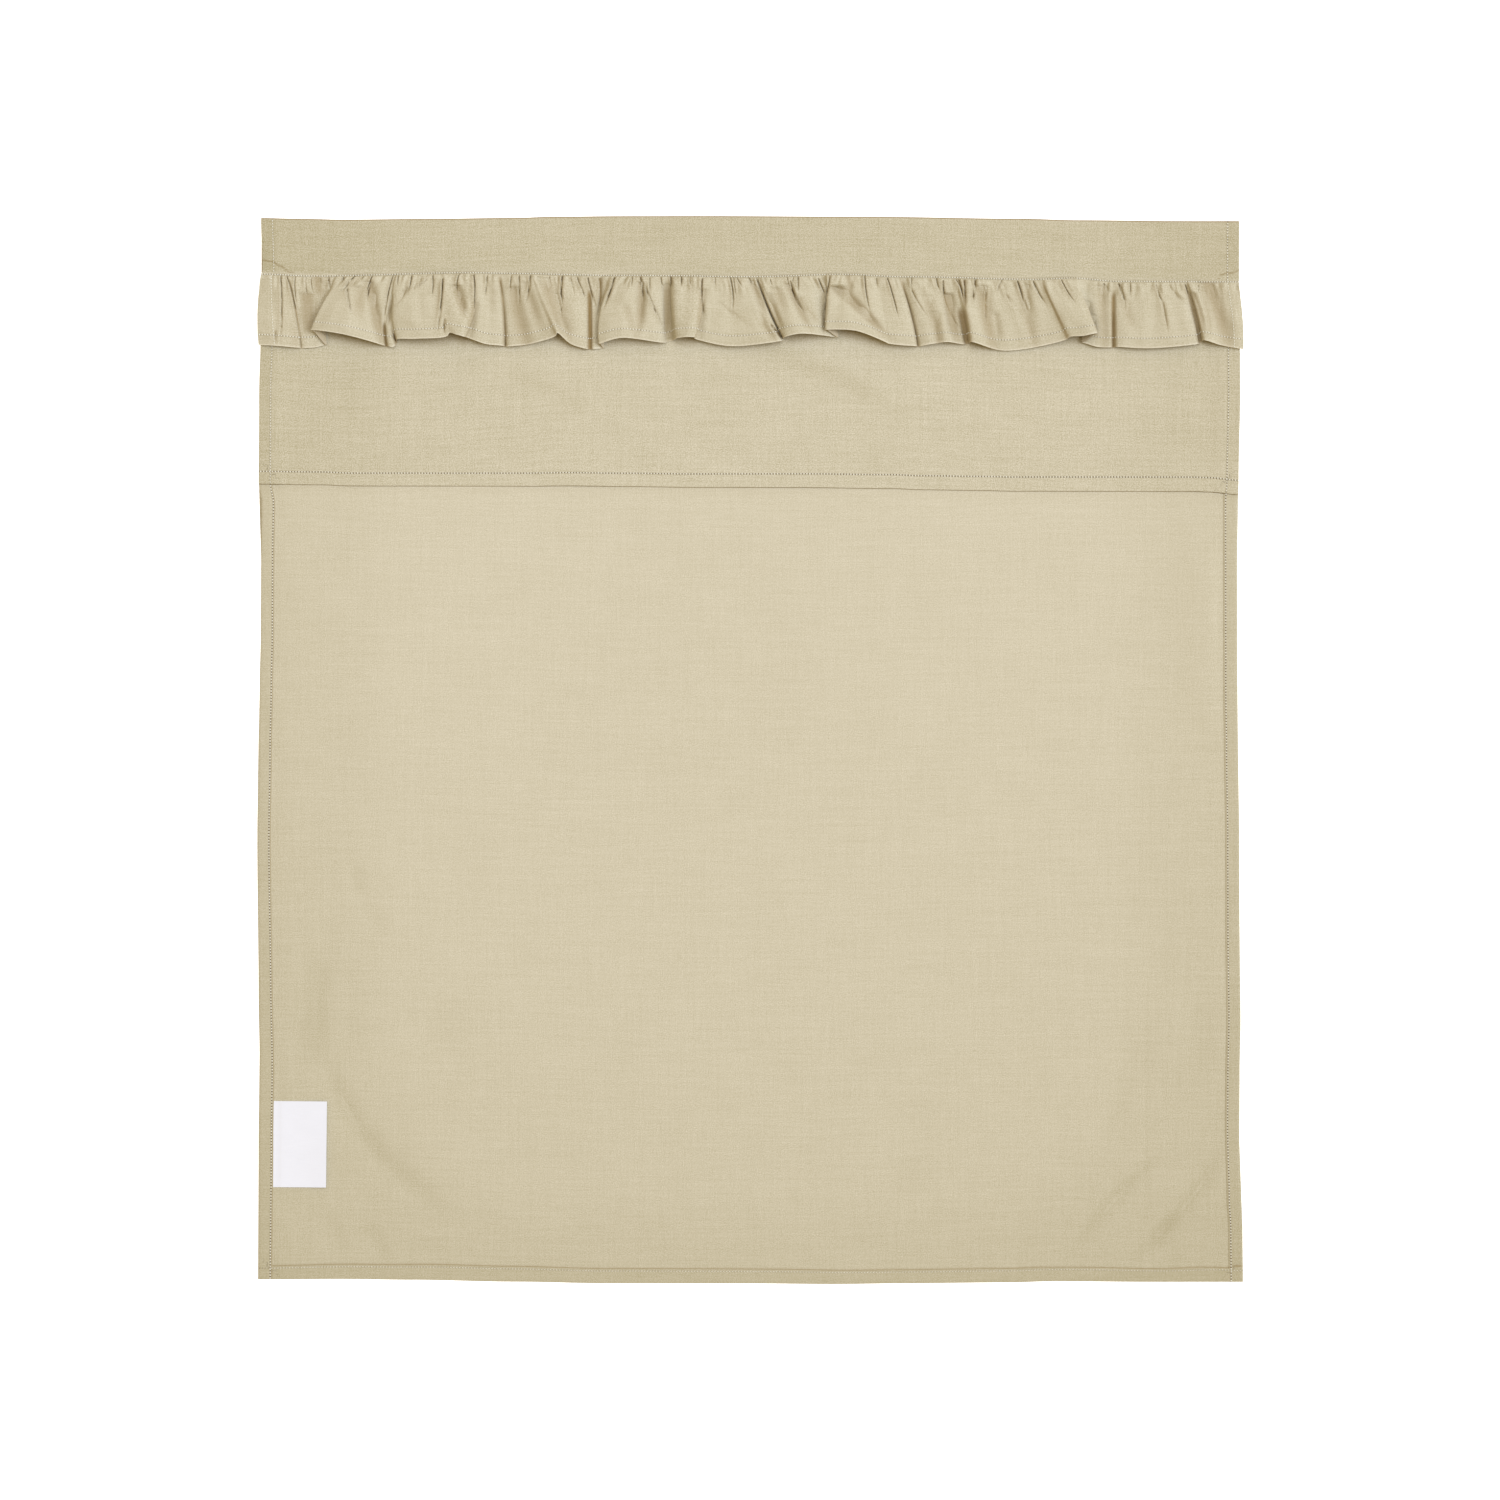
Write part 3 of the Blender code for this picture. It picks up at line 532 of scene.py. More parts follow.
def make_sheet(surface):
    middle = near_and_between(SHEET_WIDTH, USUAL_HEM, USUAL_HEM, COLUMNS_BETWEEN)
    nominal = edge_at(LEFT_EDGE, 0.0) + middle
    y, height, along = sheet_rows(nominal)
    left, right = edge_at(LEFT_EDGE, y[:, 0]), edge_at(RIGHT_EDGE, y[:, -1])
    left_hem, right_hem = edge_at(LEFT_HEM, y[:, 0]), edge_at(RIGHT_HEM, y[:, -1])
    x = left[:, None] + near_and_between(right - left, left_hem, right_hem, COLUMNS_BETWEEN)
    down = np.isnan(height)
    first_down = int(np.argmax(down[:, 0]))
    height = np.where(down, down_height(x, y), height)

    foot_q = (y - edge_at(FOOT_EDGE, x)) / edge_at(FOOT_HEM, x)
    head_q = np.where(down, (y - edge_at(HEAD_EDGE, x)) / edge_at(HEAD_HEM, x), 99.0)
    left_q = (x - left[:, None]) / left_hem[:, None]
    right_q = (right[:, None] - x) / right_hem[:, None]
    side = np.maximum(hem_shape(left_q), hem_shape(right_q))
    foot = np.where(down, 0.0, hem_shape(foot_q))
    head = np.where(down, hem_shape(head_q), 0.0)
    ends = np.where(x < 0, side + foot * (left_q > 1.02), foot + side * (foot_q > 1.02))
    hem = np.clip(np.where(down, np.maximum(side, head), ends), -0.5, 1.0)

    lift = smooth_step(np.minimum(np.minimum(foot_q, left_q), right_q) - 1.0)
    lift *= smooth_step((edge_at(FOLD_EDGE, x) - y) / 30)
    free = smooth_step((edge_at(HEAD_EDGE, x) + 10 - y) / 40)
    raised = 0.14 * (1 + waves(x, y, 2, 110)) * lift + ridge_height(x, y, BODY_RIDGES) * lift * free
    beside_hem = bell(np.minimum(left_q, right_q) - 1.1, 0.6)
    above_hem = bell(foot_q - 1.1, 0.6)
    pucker = 0.05 * np.sin(y * math.tau / 13 + 2 * waves(x * 0, y, 8, 90)) * beside_hem
    pucker = pucker + 0.05 * np.sin(x * math.tau / 15 + 2 * waves(x, y * 0, 9, 90)) * above_hem
    raised = np.where(down, 0.0, raised + pucker)

    points = np.stack([x, y, height], axis=2)
    normal = normals_of(points)
    nearest = np.minimum(np.minimum(left_q, right_q), np.where(down, head_q, foot_q))
    rounding = 0.5 + 0.5 * smooth_step(nearest / 0.06)
    inner = (LAYER / 2 + HEM_STEP * hem) * rounding + raised
    outer = LAYER / 2 * rounding
    over = points + normal * inner[..., None]
    under = points - normal * outer[..., None]
    under[:first_down, :, 2] = np.maximum(under[:first_down, :, 2], 0.0)

    above_seam = y - edge_at(SEAM, x)
    plies_and_painted_light = sheet_tones(x, y, down, side, foot, above_seam)
    shade = sheet_shade(x, y, down, side, (left_q, right_q, foot_q), above_seam)
    from_left, from_right = left_q - STITCHED_AT, right_q - STITCHED_AT
    side_line = np.where(np.abs(from_left) < np.abs(from_right),
                         from_left * left_hem[:, None], from_right * right_hem[:, None])
    cross_line = (np.where(down, head_q, foot_q) - STITCHED_AT) * USUAL_HEM
    use_cross = np.abs(cross_line) < np.abs(side_line)
    # The third part says how strong the painted shade in the needle holes is.
    stitch = np.stack([np.where(use_cross, x, along), np.where(use_cross, cross_line, side_line),
                       np.where(use_cross, np.where(down, 0.8, 0.5), 0.9)], axis=2)
    flat = np.stack([x, along, np.where(down, 20.0, 0.0)], axis=2)
    # Painted shadow below the frill's hem, darker where the hem stands higher, and a thin painted shadow
    # line below the turned-down edge.
    hem_y, hem_height = frill_hem_at(x)
    under_it = np.where(down, 1 - smooth_step(above_seam / 2 + 1), 1.0)
    line = np.where(down, 0.0, 0.6)
    halo = np.where(down, 0.0032 * hem_height ** 2, 0.04)
    hangs_at = np.where(down, hem_y, edge_at(HEAD_EDGE, x))
    below = np.stack([hangs_at - y, line * under_it, halo * under_it], axis=2)
    roll = first_down - ROLL_ROWS
    kept = [*range(0, roll, UNDER_STEP), *range(roll, len(y))]
    cloth = closed_cloth("sheet_cloth", over, under, kept,
                         {"flat_mm": flat, "plies_and_painted_light": plies_and_painted_light, "stitch_mm": stitch, "shade": shade,
                          "below_mm": below, "contrast": np.where(down, 1.5, 1.0)}, surface)
    return cloth, over, under, first_down


def panel_point(panel, place, share):
    """A panel's left edge, crest or right edge, share of the way from the seam to the hem.
    The tables' x and y are where it looks to be from above, and nearer allows for its height."""
    across = {"left": 0.0, "crest": panel.crest, "right": 1.0}[place]
    seam = panel.seam_left + across * (panel.seam_right - panel.seam_left)
    middle = panel.middle_left + across * (panel.middle_right - panel.middle_left)
    hem = panel.hem_left + across * (panel.hem_right - panel.hem_left)
    straight = seam + share * (hem - seam)
    bend = 4 * share * (1 - share) * (middle - (seam + hem) / 2)
    rising = SEAM_RISE + (1 - SEAM_RISE) * math.sin(math.pi / 2 * max(share, 0.0)) ** PUFF
    y = float(edge_at(SEAM, seam)) - share * getattr(panel, f"reach_{place}")
    z = rising * getattr(panel, f"rise_{place}")
    nearer = 1 - z * MM / CAMERA_HEIGHT
    return np.array([nearer * (straight + bend), nearer * y, z])


def gap_opens(panel, share):
    """How far the gap after a panel is open, at a share of the frill's depth."""
    return float(smooth_step((share - panel.opens) / 0.15))


def slot_floor(right, left, opening):
    """The bottom of the slot between a panel's right edge and the next one's left edge."""
    shallow = min(left[2], right[2])
    floor = shallow + opening * (max(0.0, shallow - SLOT_SLOPE * (left[0] - right[0])) - shallow)
    points = [right + share * (left - right) for share in (0.35, 0.65)]
    return [np.array([point[0], point[1], floor]) for point in points]


def lap_folds(right, left):
    """Two small folds, through which the cloth runs back under or over the panel before."""
    overlap = right[0] - left[0]
    opening = float(smooth_step(0.5 + overlap / LAP_OPENS))
    climbs = 1 if left[2] > right[2] else -1
    points = []
    for edge, side in ((right, -1), (left, 1)):
        for level in (-1, 0, 1):
            flat = level * max(-overlap, 0.0) / 3
            folded = abs(level) * side * 1.5 * LAP_RADIUS
            sideways = flat + opening * (folded - flat)
            points.append(edge + np.array([sideways, 0.0, level * climbs * LAP_RADIUS * opening]))
    return points


def frill_knots(share):
    """The knots of one row of the frill, above the place that each of them lies on."""
    knots = []
    join, last_right, opening = "end", None, 0.0
    for panel in PANELS:
        left, crest, right = [panel_point(panel, place, share) for place in ("left", "crest", "right")]
        if join == "lap":
            knots += lap_folds(last_right, left)
        else:
            if join == "slot":
                knots += slot_floor(last_right, left, opening)
            knots.append(left)
        knots.append(crest)
        if panel.join != "lap":
            knots.append(right)
        join, last_right, opening = panel.join, right, gap_opens(panel, share)
    return np.array(knots)


def curve_at(knots, stretch, t):
    """Points on the smooth curve through each row of knots, at t of the given stretches."""
    before = 2 * knots[:, :1] - knots[:, 1:2]
    after = 2 * knots[:, -1:] - knots[:, -2:-1]
    ends = np.concatenate([before, knots, after], axis=1)
    p0, p1, p2, p3 = [ends[:, stretch + k] for k in range(4)]
    d1, d2, d3 = [np.sqrt(np.maximum(np.linalg.norm(b - a, axis=2, keepdims=True), 1e-4))
                  for a, b in ((p0, p1), (p1, p2), (p2, p3))]
    m1 = (p1 - p0) / d1 - (p2 - p0) / (d1 + d2) + (p2 - p1) / d2
    m2 = (p2 - p1) / d2 - (p3 - p1) / (d2 + d3) + (p3 - p2) / d3
    t = t[None, :, None]
    return (p1 * (2 * t**3 - 3 * t**2 + 1) + m1 * d2 * (t**3 - 2 * t**2 + t)
            + p2 * (3 * t**2 - 2 * t**3) + m2 * d2 * (t**3 - t**2))


def crease_line(crease, shares):
    """x of a crease at each share of the depth, and how strong it is there."""
    t = (shares - crease.v1) / (crease.v2 - crease.v1)
    x = crease.x1 + t * (crease.x2 - crease.x1) + crease.bow * 4 * t * (1 - t)
    length = (crease.v2 - crease.v1) * FRILL_DEPTH
    strength = smooth_step(t * length / 1.5 + 0.6) * (1 - smooth_step((t - 0.5) / 0.6))
    return x, strength


def gap_shade(x, shares):
    """Painted shade: 1 in the dark gaps between neighbouring panels, fading at their edges."""
    total = 0 * x
    for panel, after in zip(PANELS, PANELS[1:]):
        if panel.join == "lap":
            continue
        right = np.array([panel_point(panel, "right", share)[0] for share in shares])[:, None]
        left = np.array([panel_point(after, "left", share)[0] for share in shares])[:, None]
        reach = np.maximum((left - right) / 2, 0.7)
        dark = panel.dark * np.array([gap_opens(panel, share) for share in shares])[:, None]
        total = np.maximum(total, dark * np.exp(-(np.abs(x - (left + right) / 2) / reach) ** 3))
    return total


def even_places(knots, count):
    """Places on a curve, count of them on each stretch between two knots: stretch, t."""
    stretches = knots.shape[1] - 1
    return np.repeat(np.arange(stretches), count), np.tile(np.arange(count) / count, stretches)


def lengths_along(points):
    """The length of a line of points up to each of them."""
    step = np.linalg.norm(np.diff(points, axis=0), axis=1)
    return np.concatenate([[0], np.cumsum(step)])


HEM_CELLS = 1501


def frill_hem_at(x):
    """y and height of the frill's hem at each x, y being where it looks to be from above."""
    knots = np.array([frill_knots(1.0)])
    line = curve_at(knots, *even_places(knots, 30))[0]
    line[:, 1] /= 1 - line[:, 2] * MM / CAMERA_HEIGHT
    places = np.linspace(line[:, 0].min(), line[:, 0].max(), HEM_CELLS)
    cell = np.rint((line[:, 0] - places[0]) / (places[1] - places[0])).astype(int)
    cell = np.clip(cell, 0, HEM_CELLS - 1)
    nearest = np.argsort(-line[:, 1])
    hem = np.full((HEM_CELLS, 2), np.nan)
    hem[cell[nearest]] = line[nearest, 1:]
    known = np.isfinite(hem[:, 0])
    return [np.interp(x, places[known], hem[known, k]) for k in (0, 1)]


COLUMN_PLACES = 40  # places looked at on each stretch, to spread the columns


def frill_columns(knots, count):
    """Where to put the columns along a row of knots, closer together at creases."""
    line = curve_at(knots, *even_places(knots, COLUMN_PLACES))[0]
    step = np.linalg.norm(np.diff(line, axis=0), axis=1)
    middle = (line[1:, 0] + line[:-1, 0]) / 2
    density = np.full(len(step), 0.42)
    for crease in CREASES:
        line_x = crease.x1 + 0.5 * (crease.x2 - crease.x1)
        reach = 1.3 + 0.4 * abs(crease.x2 - crease.x1)
        density = np.maximum(density, 0.42 + 1.1 * bell(middle - line_x, reach))
    sums = np.concatenate([[0], np.cumsum(step * density)])
    wanted = np.linspace(0, sums[-1], count)
    place = np.interp(wanted, sums, np.arange(len(sums)))
    place = np.minimum(place / COLUMN_PLACES, knots.shape[1] - 1 - 1e-6)
    return place.astype(int), place - place.astype(int)


FRILL_SHARES = np.array([SEAM_TOP, -.008, .006, SEAM_STITCHED_AT, .026, .034, .042, .052, .064, .078, .094,
                         .112, .131, .151, .172, .193, .215, .238, .262, .287, .312, .338, .364, .39,
                         .417, .444, .472, .5, .528, .556, .584, .612, .64, .668, .696, .724, .752, .778,
                         .802, .824, .84, .85, FRILL_STITCHED_AT, .863, .88, .905, .93, .955, .972, .984,
                         .993, 1.0])
FRILL_STRIP_ROWS = 5
FRILL_UNDER_ROWS = (0, 3, 8, 18, 28, 36, 42)  # with the hem's, the rows that the underside keeps
FRILL_COLUMNS = 1640


def make_frill(surface):
    shares = FRILL_SHARES
    knots = np.array([frill_knots(share) for share in shares])
    guide = int(np.argmin(np.abs(shares - 0.2)))
    stretch, t = frill_columns(knots[guide:guide + 1], FRILL_COLUMNS)
    points = curve_at(knots, stretch, t)
    x, y, z = points[..., 0], points[..., 1], np.maximum(points[..., 2], 0.0)
    v = shares[:, None]

    arc = lengths_along(points[guide])
    gathered = smooth_step((v - 0.022) / 0.028)
    near_seam = gathered * (1 - smooth_step((v - 0.05) / 0.3))
    z = z + 1.9 * near_seam
    z = z + 0.5 * waves(arc[None, :], 16 * v, 11, 4.2) * near_seam
    z = z + 0.2 * waves(arc[None, :], 60 * v, 12, 16.0) * smooth_step(v / 0.1)
    z = z + 0.5 * waves(arc[None, :], 14 * v, 13, 11.0) * smooth_step(v / 0.1) * (1 - 0.7 * v)
    # Painted shade in the gaps between folds and in the ditch at the seam.
    shade = gap_shade(x, shares) + 0.02 * (1 - smooth_step((v - 0.022) / 0.012))
    halo = 0 * z
    # Each narrow crease is pinched in the surface and gets painted shade in its pinch and a soft halo of
    # painted shade beside it; each wide valley is sunk and gets the halo only.
    for crease in CREASES:
        line_x, strength = crease_line(crease, v)
        off = (x - line_x) / crease.width
        if crease.width < 2:
            off = off / CREASE_SHARPNESS
            pinch = 1.7 * np.exp(-np.abs(off) ** 1.3) - 0.5 * bell(off, 3)
            z = z - crease.depth * strength * pinch
            dark = min(0.85, 0.42 * crease.depth) * strength
            shade = np.maximum(shade, dark * np.exp(-(1.25 * off) ** 2))
            halo = np.maximum(halo, 0.1 * crease.depth * strength * bell(x - line_x, 3.0))
        else:
            z = z - 1.2 * crease.depth * strength * np.exp(-off**2)
            halo = np.maximum(halo, 0.15 * crease.depth * strength * np.exp(-off**2))
    shade = np.maximum(shade, np.minimum(halo, 0.36))
    # Painted shade on the wrong side of the cloth, where it runs back under a lap.
    runs_back = smooth_step(-np.gradient(x, axis=1) / 0.1) * smooth_step((v - 0.5) / 0.25)
    shade = np.maximum(shade, BACK_SHADE * runs_back)
    z = np.maximum(z, 0.15)
    ditch = smooth_step((0.006 - v) / 0.02)
    seat = down_height(x, y) + LAYER / 2 + 0.1 + LAYER / 2
    z = seat + z * (1 - ditch) - 0.55 * ditch

    middle = np.stack([x, y, z], axis=2)
    normal = -normals_of(middle)
    hem = smooth_step((v - FRILL_HEM_START) / 0.008) + 0 * x
    end = np.minimum(arc, arc[-1] - arc)[None, :]
    hem = np.maximum(hem, 1 - smooth_step((end - END_HEM) / 0.5)) * smooth_step(v / 0.05)
    rounding = 0.45 + 0.55 * smooth_step((1 - v) / 0.012)
    over = middle + normal * (LAYER / 2 * rounding + 0.12 * hem)[..., None]
    under = middle - normal * ((LAYER / 2 + 0.3 * hem) * rounding)[..., None]

    hem_arc = lengths_along(points[-1])
    line = int(np.argmin(np.abs(shares - FRILL_STITCHED_AT)))
    stitch_arc = lengths_along(over[line])
    seam = seam_points(over)
    seam_arc = lengths_along(seam)
    on_seam = v < 0.1
    # The third part says how strong the painted shade in the needle holes is.
    stitch = np.stack([
        np.where(on_seam, np.interp(x, seam[:, 0], seam_arc) * PITCH / SEAM_PITCH, stitch_arc[None, :]),
        (v - np.where(on_seam, SEAM_STITCHED_AT, FRILL_STITCHED_AT)) * FRILL_DEPTH + 0 * x,
        np.where(v < 0.035, 0.5, np.where(v > 0.75, 0.45, 0.0)) + 0 * x,
    ], axis=2)
    flat = np.stack([hem_arc[None, :] + 0 * x, -v * FRILL_DEPTH + 0 * x, 40 + 0 * x], axis=2)
    # A painted highlight along the hem's edge lightens the layers' tone there.
    lit_edge = smooth_step((v - 0.975) / 0.02)
    plies_and_painted_light = 0.7 + 0.1 * hem - 1.7 * lit_edge
    last = len(shares) - 1
    grids = {"flat_mm": flat[::-1], "plies_and_painted_light": plies_and_painted_light[::-1], "stitch_mm": stitch[::-1], "shade": shade[::-1],
             "contrast": 1.3 + 0 * plies_and_painted_light}
    cloth = closed_cloth("frill_cloth", over[::-1], under[::-1],
                         [0, *(last - row for row in reversed(FRILL_UNDER_ROWS))], grids, surface)
    return cloth, over, arc


LABEL_ROWS = 34


def make_label(surface):
    across = np.linspace(0, 1, 24)[None, :]
    down = np.linspace(1, 0, LABEL_ROWS)[:, None]
    x = LABEL_LEFT + across * LABEL_WIDTH + 0 * down - 0.7 * down
    y = LABEL_TOP - down * LABEL_HEIGHT + 0 * across - 0.2 * across
    bend = 0.25 * bell(across - 0.09, 0.03)
    z = LAYER + 0.1 + LABEL_THICKNESS / 2 + 0.3 * smooth_step(across / 0.1) + LABEL_LIFT * across**2 - bend
    z = z + 0.12 * waves(x, y, 21, 40) * across
    middle = np.stack([x, y, z + 0 * x], axis=2)
    normal = normals_of(middle)
    over = middle + normal * LABEL_THICKNESS / 2
    under = middle - normal * LABEL_THICKNESS / 2
    flat = np.stack([x, y, 0 * x], axis=2)
    return closed_cloth("care_label_cloth", over, under, range(LABEL_ROWS), {"flat_mm": flat}, surface)


def seam_points(frill_top):
    """The line of the seam's stitches, which runs straight over the frill's small pleats."""
    strip = frill_top[:FRILL_STRIP_ROWS].reshape(-1, 3)
    x = np.linspace(-374.5, 374.5, 750)
    step = np.clip(((strip[:, 0] - x[0]) / (x[1] - x[0])).round().astype(int), 0, len(x) - 1)
    top = np.full(len(x), 0.0)
    np.maximum.at(top, step, strip[:, 2])
    top = np.convolve(np.pad(top, 3, mode="edge"), np.full(7, 1 / 7), "valid")
    y = edge_at(SEAM, x) - SEAM_STITCHED_AT * FRILL_DEPTH
    return np.stack([x, y, top + 0.1], axis=1)


def stitch_line(points, normals, pitch, size=1.0):
    """Centre, direction, normal and size of each stitch along a line on a cloth."""
    sums = lengths_along(points)
    wanted = np.arange(pitch / 2, sums[-1], pitch)

    def along(values, places):
        return np.stack([np.interp(places, sums, values[:, k]) for k in range(3)], axis=1)

    run = along(points, wanted + 0.5) - along(points, wanted - 0.5)
    run = run / np.linalg.norm(run, axis=1, keepdims=True)
    up = along(normals, wanted)
    up -= run * (up * run).sum(axis=1, keepdims=True)
    up = up / np.linalg.norm(up, axis=1, keepdims=True)
    return along(points, wanted), run, up, np.full((len(up), 1), size)


STITCH_LENGTH = 1.3
STITCH_WIDTH = 0.8
STITCH_HEIGHT = 0.4
STITCH_SIDES = 6
STITCH_RINGS = 5


def make_stitches(name, lines, surface, seed):
    """One mesh of small thread stitches, each a short bead that dips at both ends."""
    random = np.random.default_rng(seed)
    centres, run, up, size = [np.concatenate(part) for part in zip(*lines)]
    count = len(centres)
    side = np.cross(up, run)
    turn = random.normal(0, 0.05, (count, 1))
    run = run + turn * side
    size = size * random.uniform(0.92, 1.08, (count, 1))
    rings = np.linspace(-1, 1, STITCH_RINGS)
    around = np.arange(STITCH_SIDES) * math.tau / STITCH_SIDES
    points = []
    for ring in rings:
        swell = 0.35 + 0.65 * math.sqrt(1 - 0.95 * ring * ring)
        rise = 0.20 - 0.26 * ring * ring
        for angle in around:
            sideways = STITCH_WIDTH / 2 * swell * math.cos(angle)
            upwards = rise + STITCH_HEIGHT / 2 * swell * math.sin(angle)
            along = run * ring * STITCH_LENGTH / 2
            points.append(centres + size * (along + side * sideways + up * upwards))
    points = np.stack(points, axis=1)
    faces = []
    for ring in range(STITCH_RINGS - 1):
        for k in range(STITCH_SIDES):
            here, there = ring * STITCH_SIDES + k, ring * STITCH_SIDES + (k + 1) % STITCH_SIDES
            faces.append([here, there, there + STITCH_SIDES, here + STITCH_SIDES])
    per = STITCH_RINGS * STITCH_SIDES
    caps = [list(range(STITCH_SIDES))[::-1], list(range(per - STITCH_SIDES, per))]
    whole = []
    for k in range(count):
        whole += [[corner + k * per for corner in face] for face in faces + caps]
    mesh = bpy.data.meshes.new(name)
    mesh.from_pydata((points.reshape(-1, 3) * MM).tolist(), [], whole)
    mesh.shade_smooth()
    mesh.materials.append(surface)
    return placed(name, mesh)


class Nodes:
    """A short way to write a material's nodes."""

    def __init__(self, name):
        self.material = bpy.data.materials.new(name)
        self.material.use_nodes = True
        self.tree = self.material.node_tree
        self.shader = self.tree.nodes["Principled BSDF"]

    def add(self, kind, settings=(), **inputs):
        made = self.tree.nodes.new(f"ShaderNode{kind}")
        for key, value in dict(settings).items():
            setattr(made, key, value)
        for key, value in inputs.items():
            self.put(made, key.replace("_", " "), value)
        return made

    def put(self, node, socket, value):
        place = node.inputs[int(socket)] if socket.isdigit() else node.inputs[socket]
        if isinstance(value, bpy.types.NodeSocket):
            self.tree.links.new(value, place)
        else:
            place.default_value = value

    def attribute(self, name, output="Fac"):
        return self.add("Attribute", {"attribute_name": name}).outputs[output]

    def parts(self, vector):
        return self.add("SeparateXYZ", Vector=vector).outputs

    def maths(self, operation, *values):
        made = self.add("Math", {"operation": operation})
        for k, value in enumerate(values):
            self.put(made, str(k), value)
        return made.outputs[0]

    def mix(self, factor, first, second):
        made = self.add("Mix", {"data_type": "RGBA", "clamp_factor": False})
        self.put(made, "0", factor)
        self.put(made, "6", first)
        self.put(made, "7", second)
        return made.outputs[2]

    def fade(self, distance, near, far):
        """1 up to the near distance, fading to 0 at the far one."""
        made = self.add("MapRange", {"interpolation_type": "SMOOTHSTEP"}, Value=distance)
        for socket, value in (("From Min", near), ("From Max", far), ("To Min", 1.0), ("To Max", 0.0)):
            made.inputs[socket].default_value = value
        return made.outputs[0]

    def streaks(self, place, across, along, turned=False):
        """Soft noise drawn out along one direction: across and along in millimetres."""
        scale = (1 / across, 1 / along, 1) if turned else (1 / along, 1 / across, 1)
        moved = self.add("Mapping", Vector=place)
        moved.inputs["Scale"].default_value = scale
        noise = self.add("TexNoise", Vector=moved.outputs[0], Scale=1.0, Detail=1.0, Roughness=0.6)
        return self.maths("SUBTRACT", noise.outputs["Fac"], 0.5)

    def threads(self, place, width, along, turned=False):
        """Threads side by side, each with a tone of its own that drifts along it."""
        parts = self.parts(place)
        run, side = (parts[1], parts[0]) if turned else (parts[0], parts[1])
        own = self.maths("MULTIPLY", self.maths("SNAP", side, width), 1.37 / width)
        point = self.add("CombineXYZ", X=self.maths("DIVIDE", run, along), Y=own, Z=parts[2])
        noise = self.add("TexNoise", Vector=point.outputs[0], Scale=1.0, Detail=1.0, Roughness=0.6)
        return self.maths("SUBTRACT", noise.outputs["Fac"], 0.5)

    def crossings(self, place, width):
        """Each crossing of two threads, a square of the given width, has a tone of its own."""
        cells = self.add("VectorMath", {"operation": "SNAP"}, Vector=place)
        cells.inputs[1].default_value = (width, width, 1.0)
        noise = self.add("TexWhiteNoise", Vector=cells.outputs[0])
        return self.maths("SUBTRACT", noise.outputs["Value"], 0.5)

    def finished(self, **inputs):
        """Sets the shader's inputs and returns the material."""
        for key, value in inputs.items():
            self.put(self.shader, key.replace("_", " "), value)
        return self.material


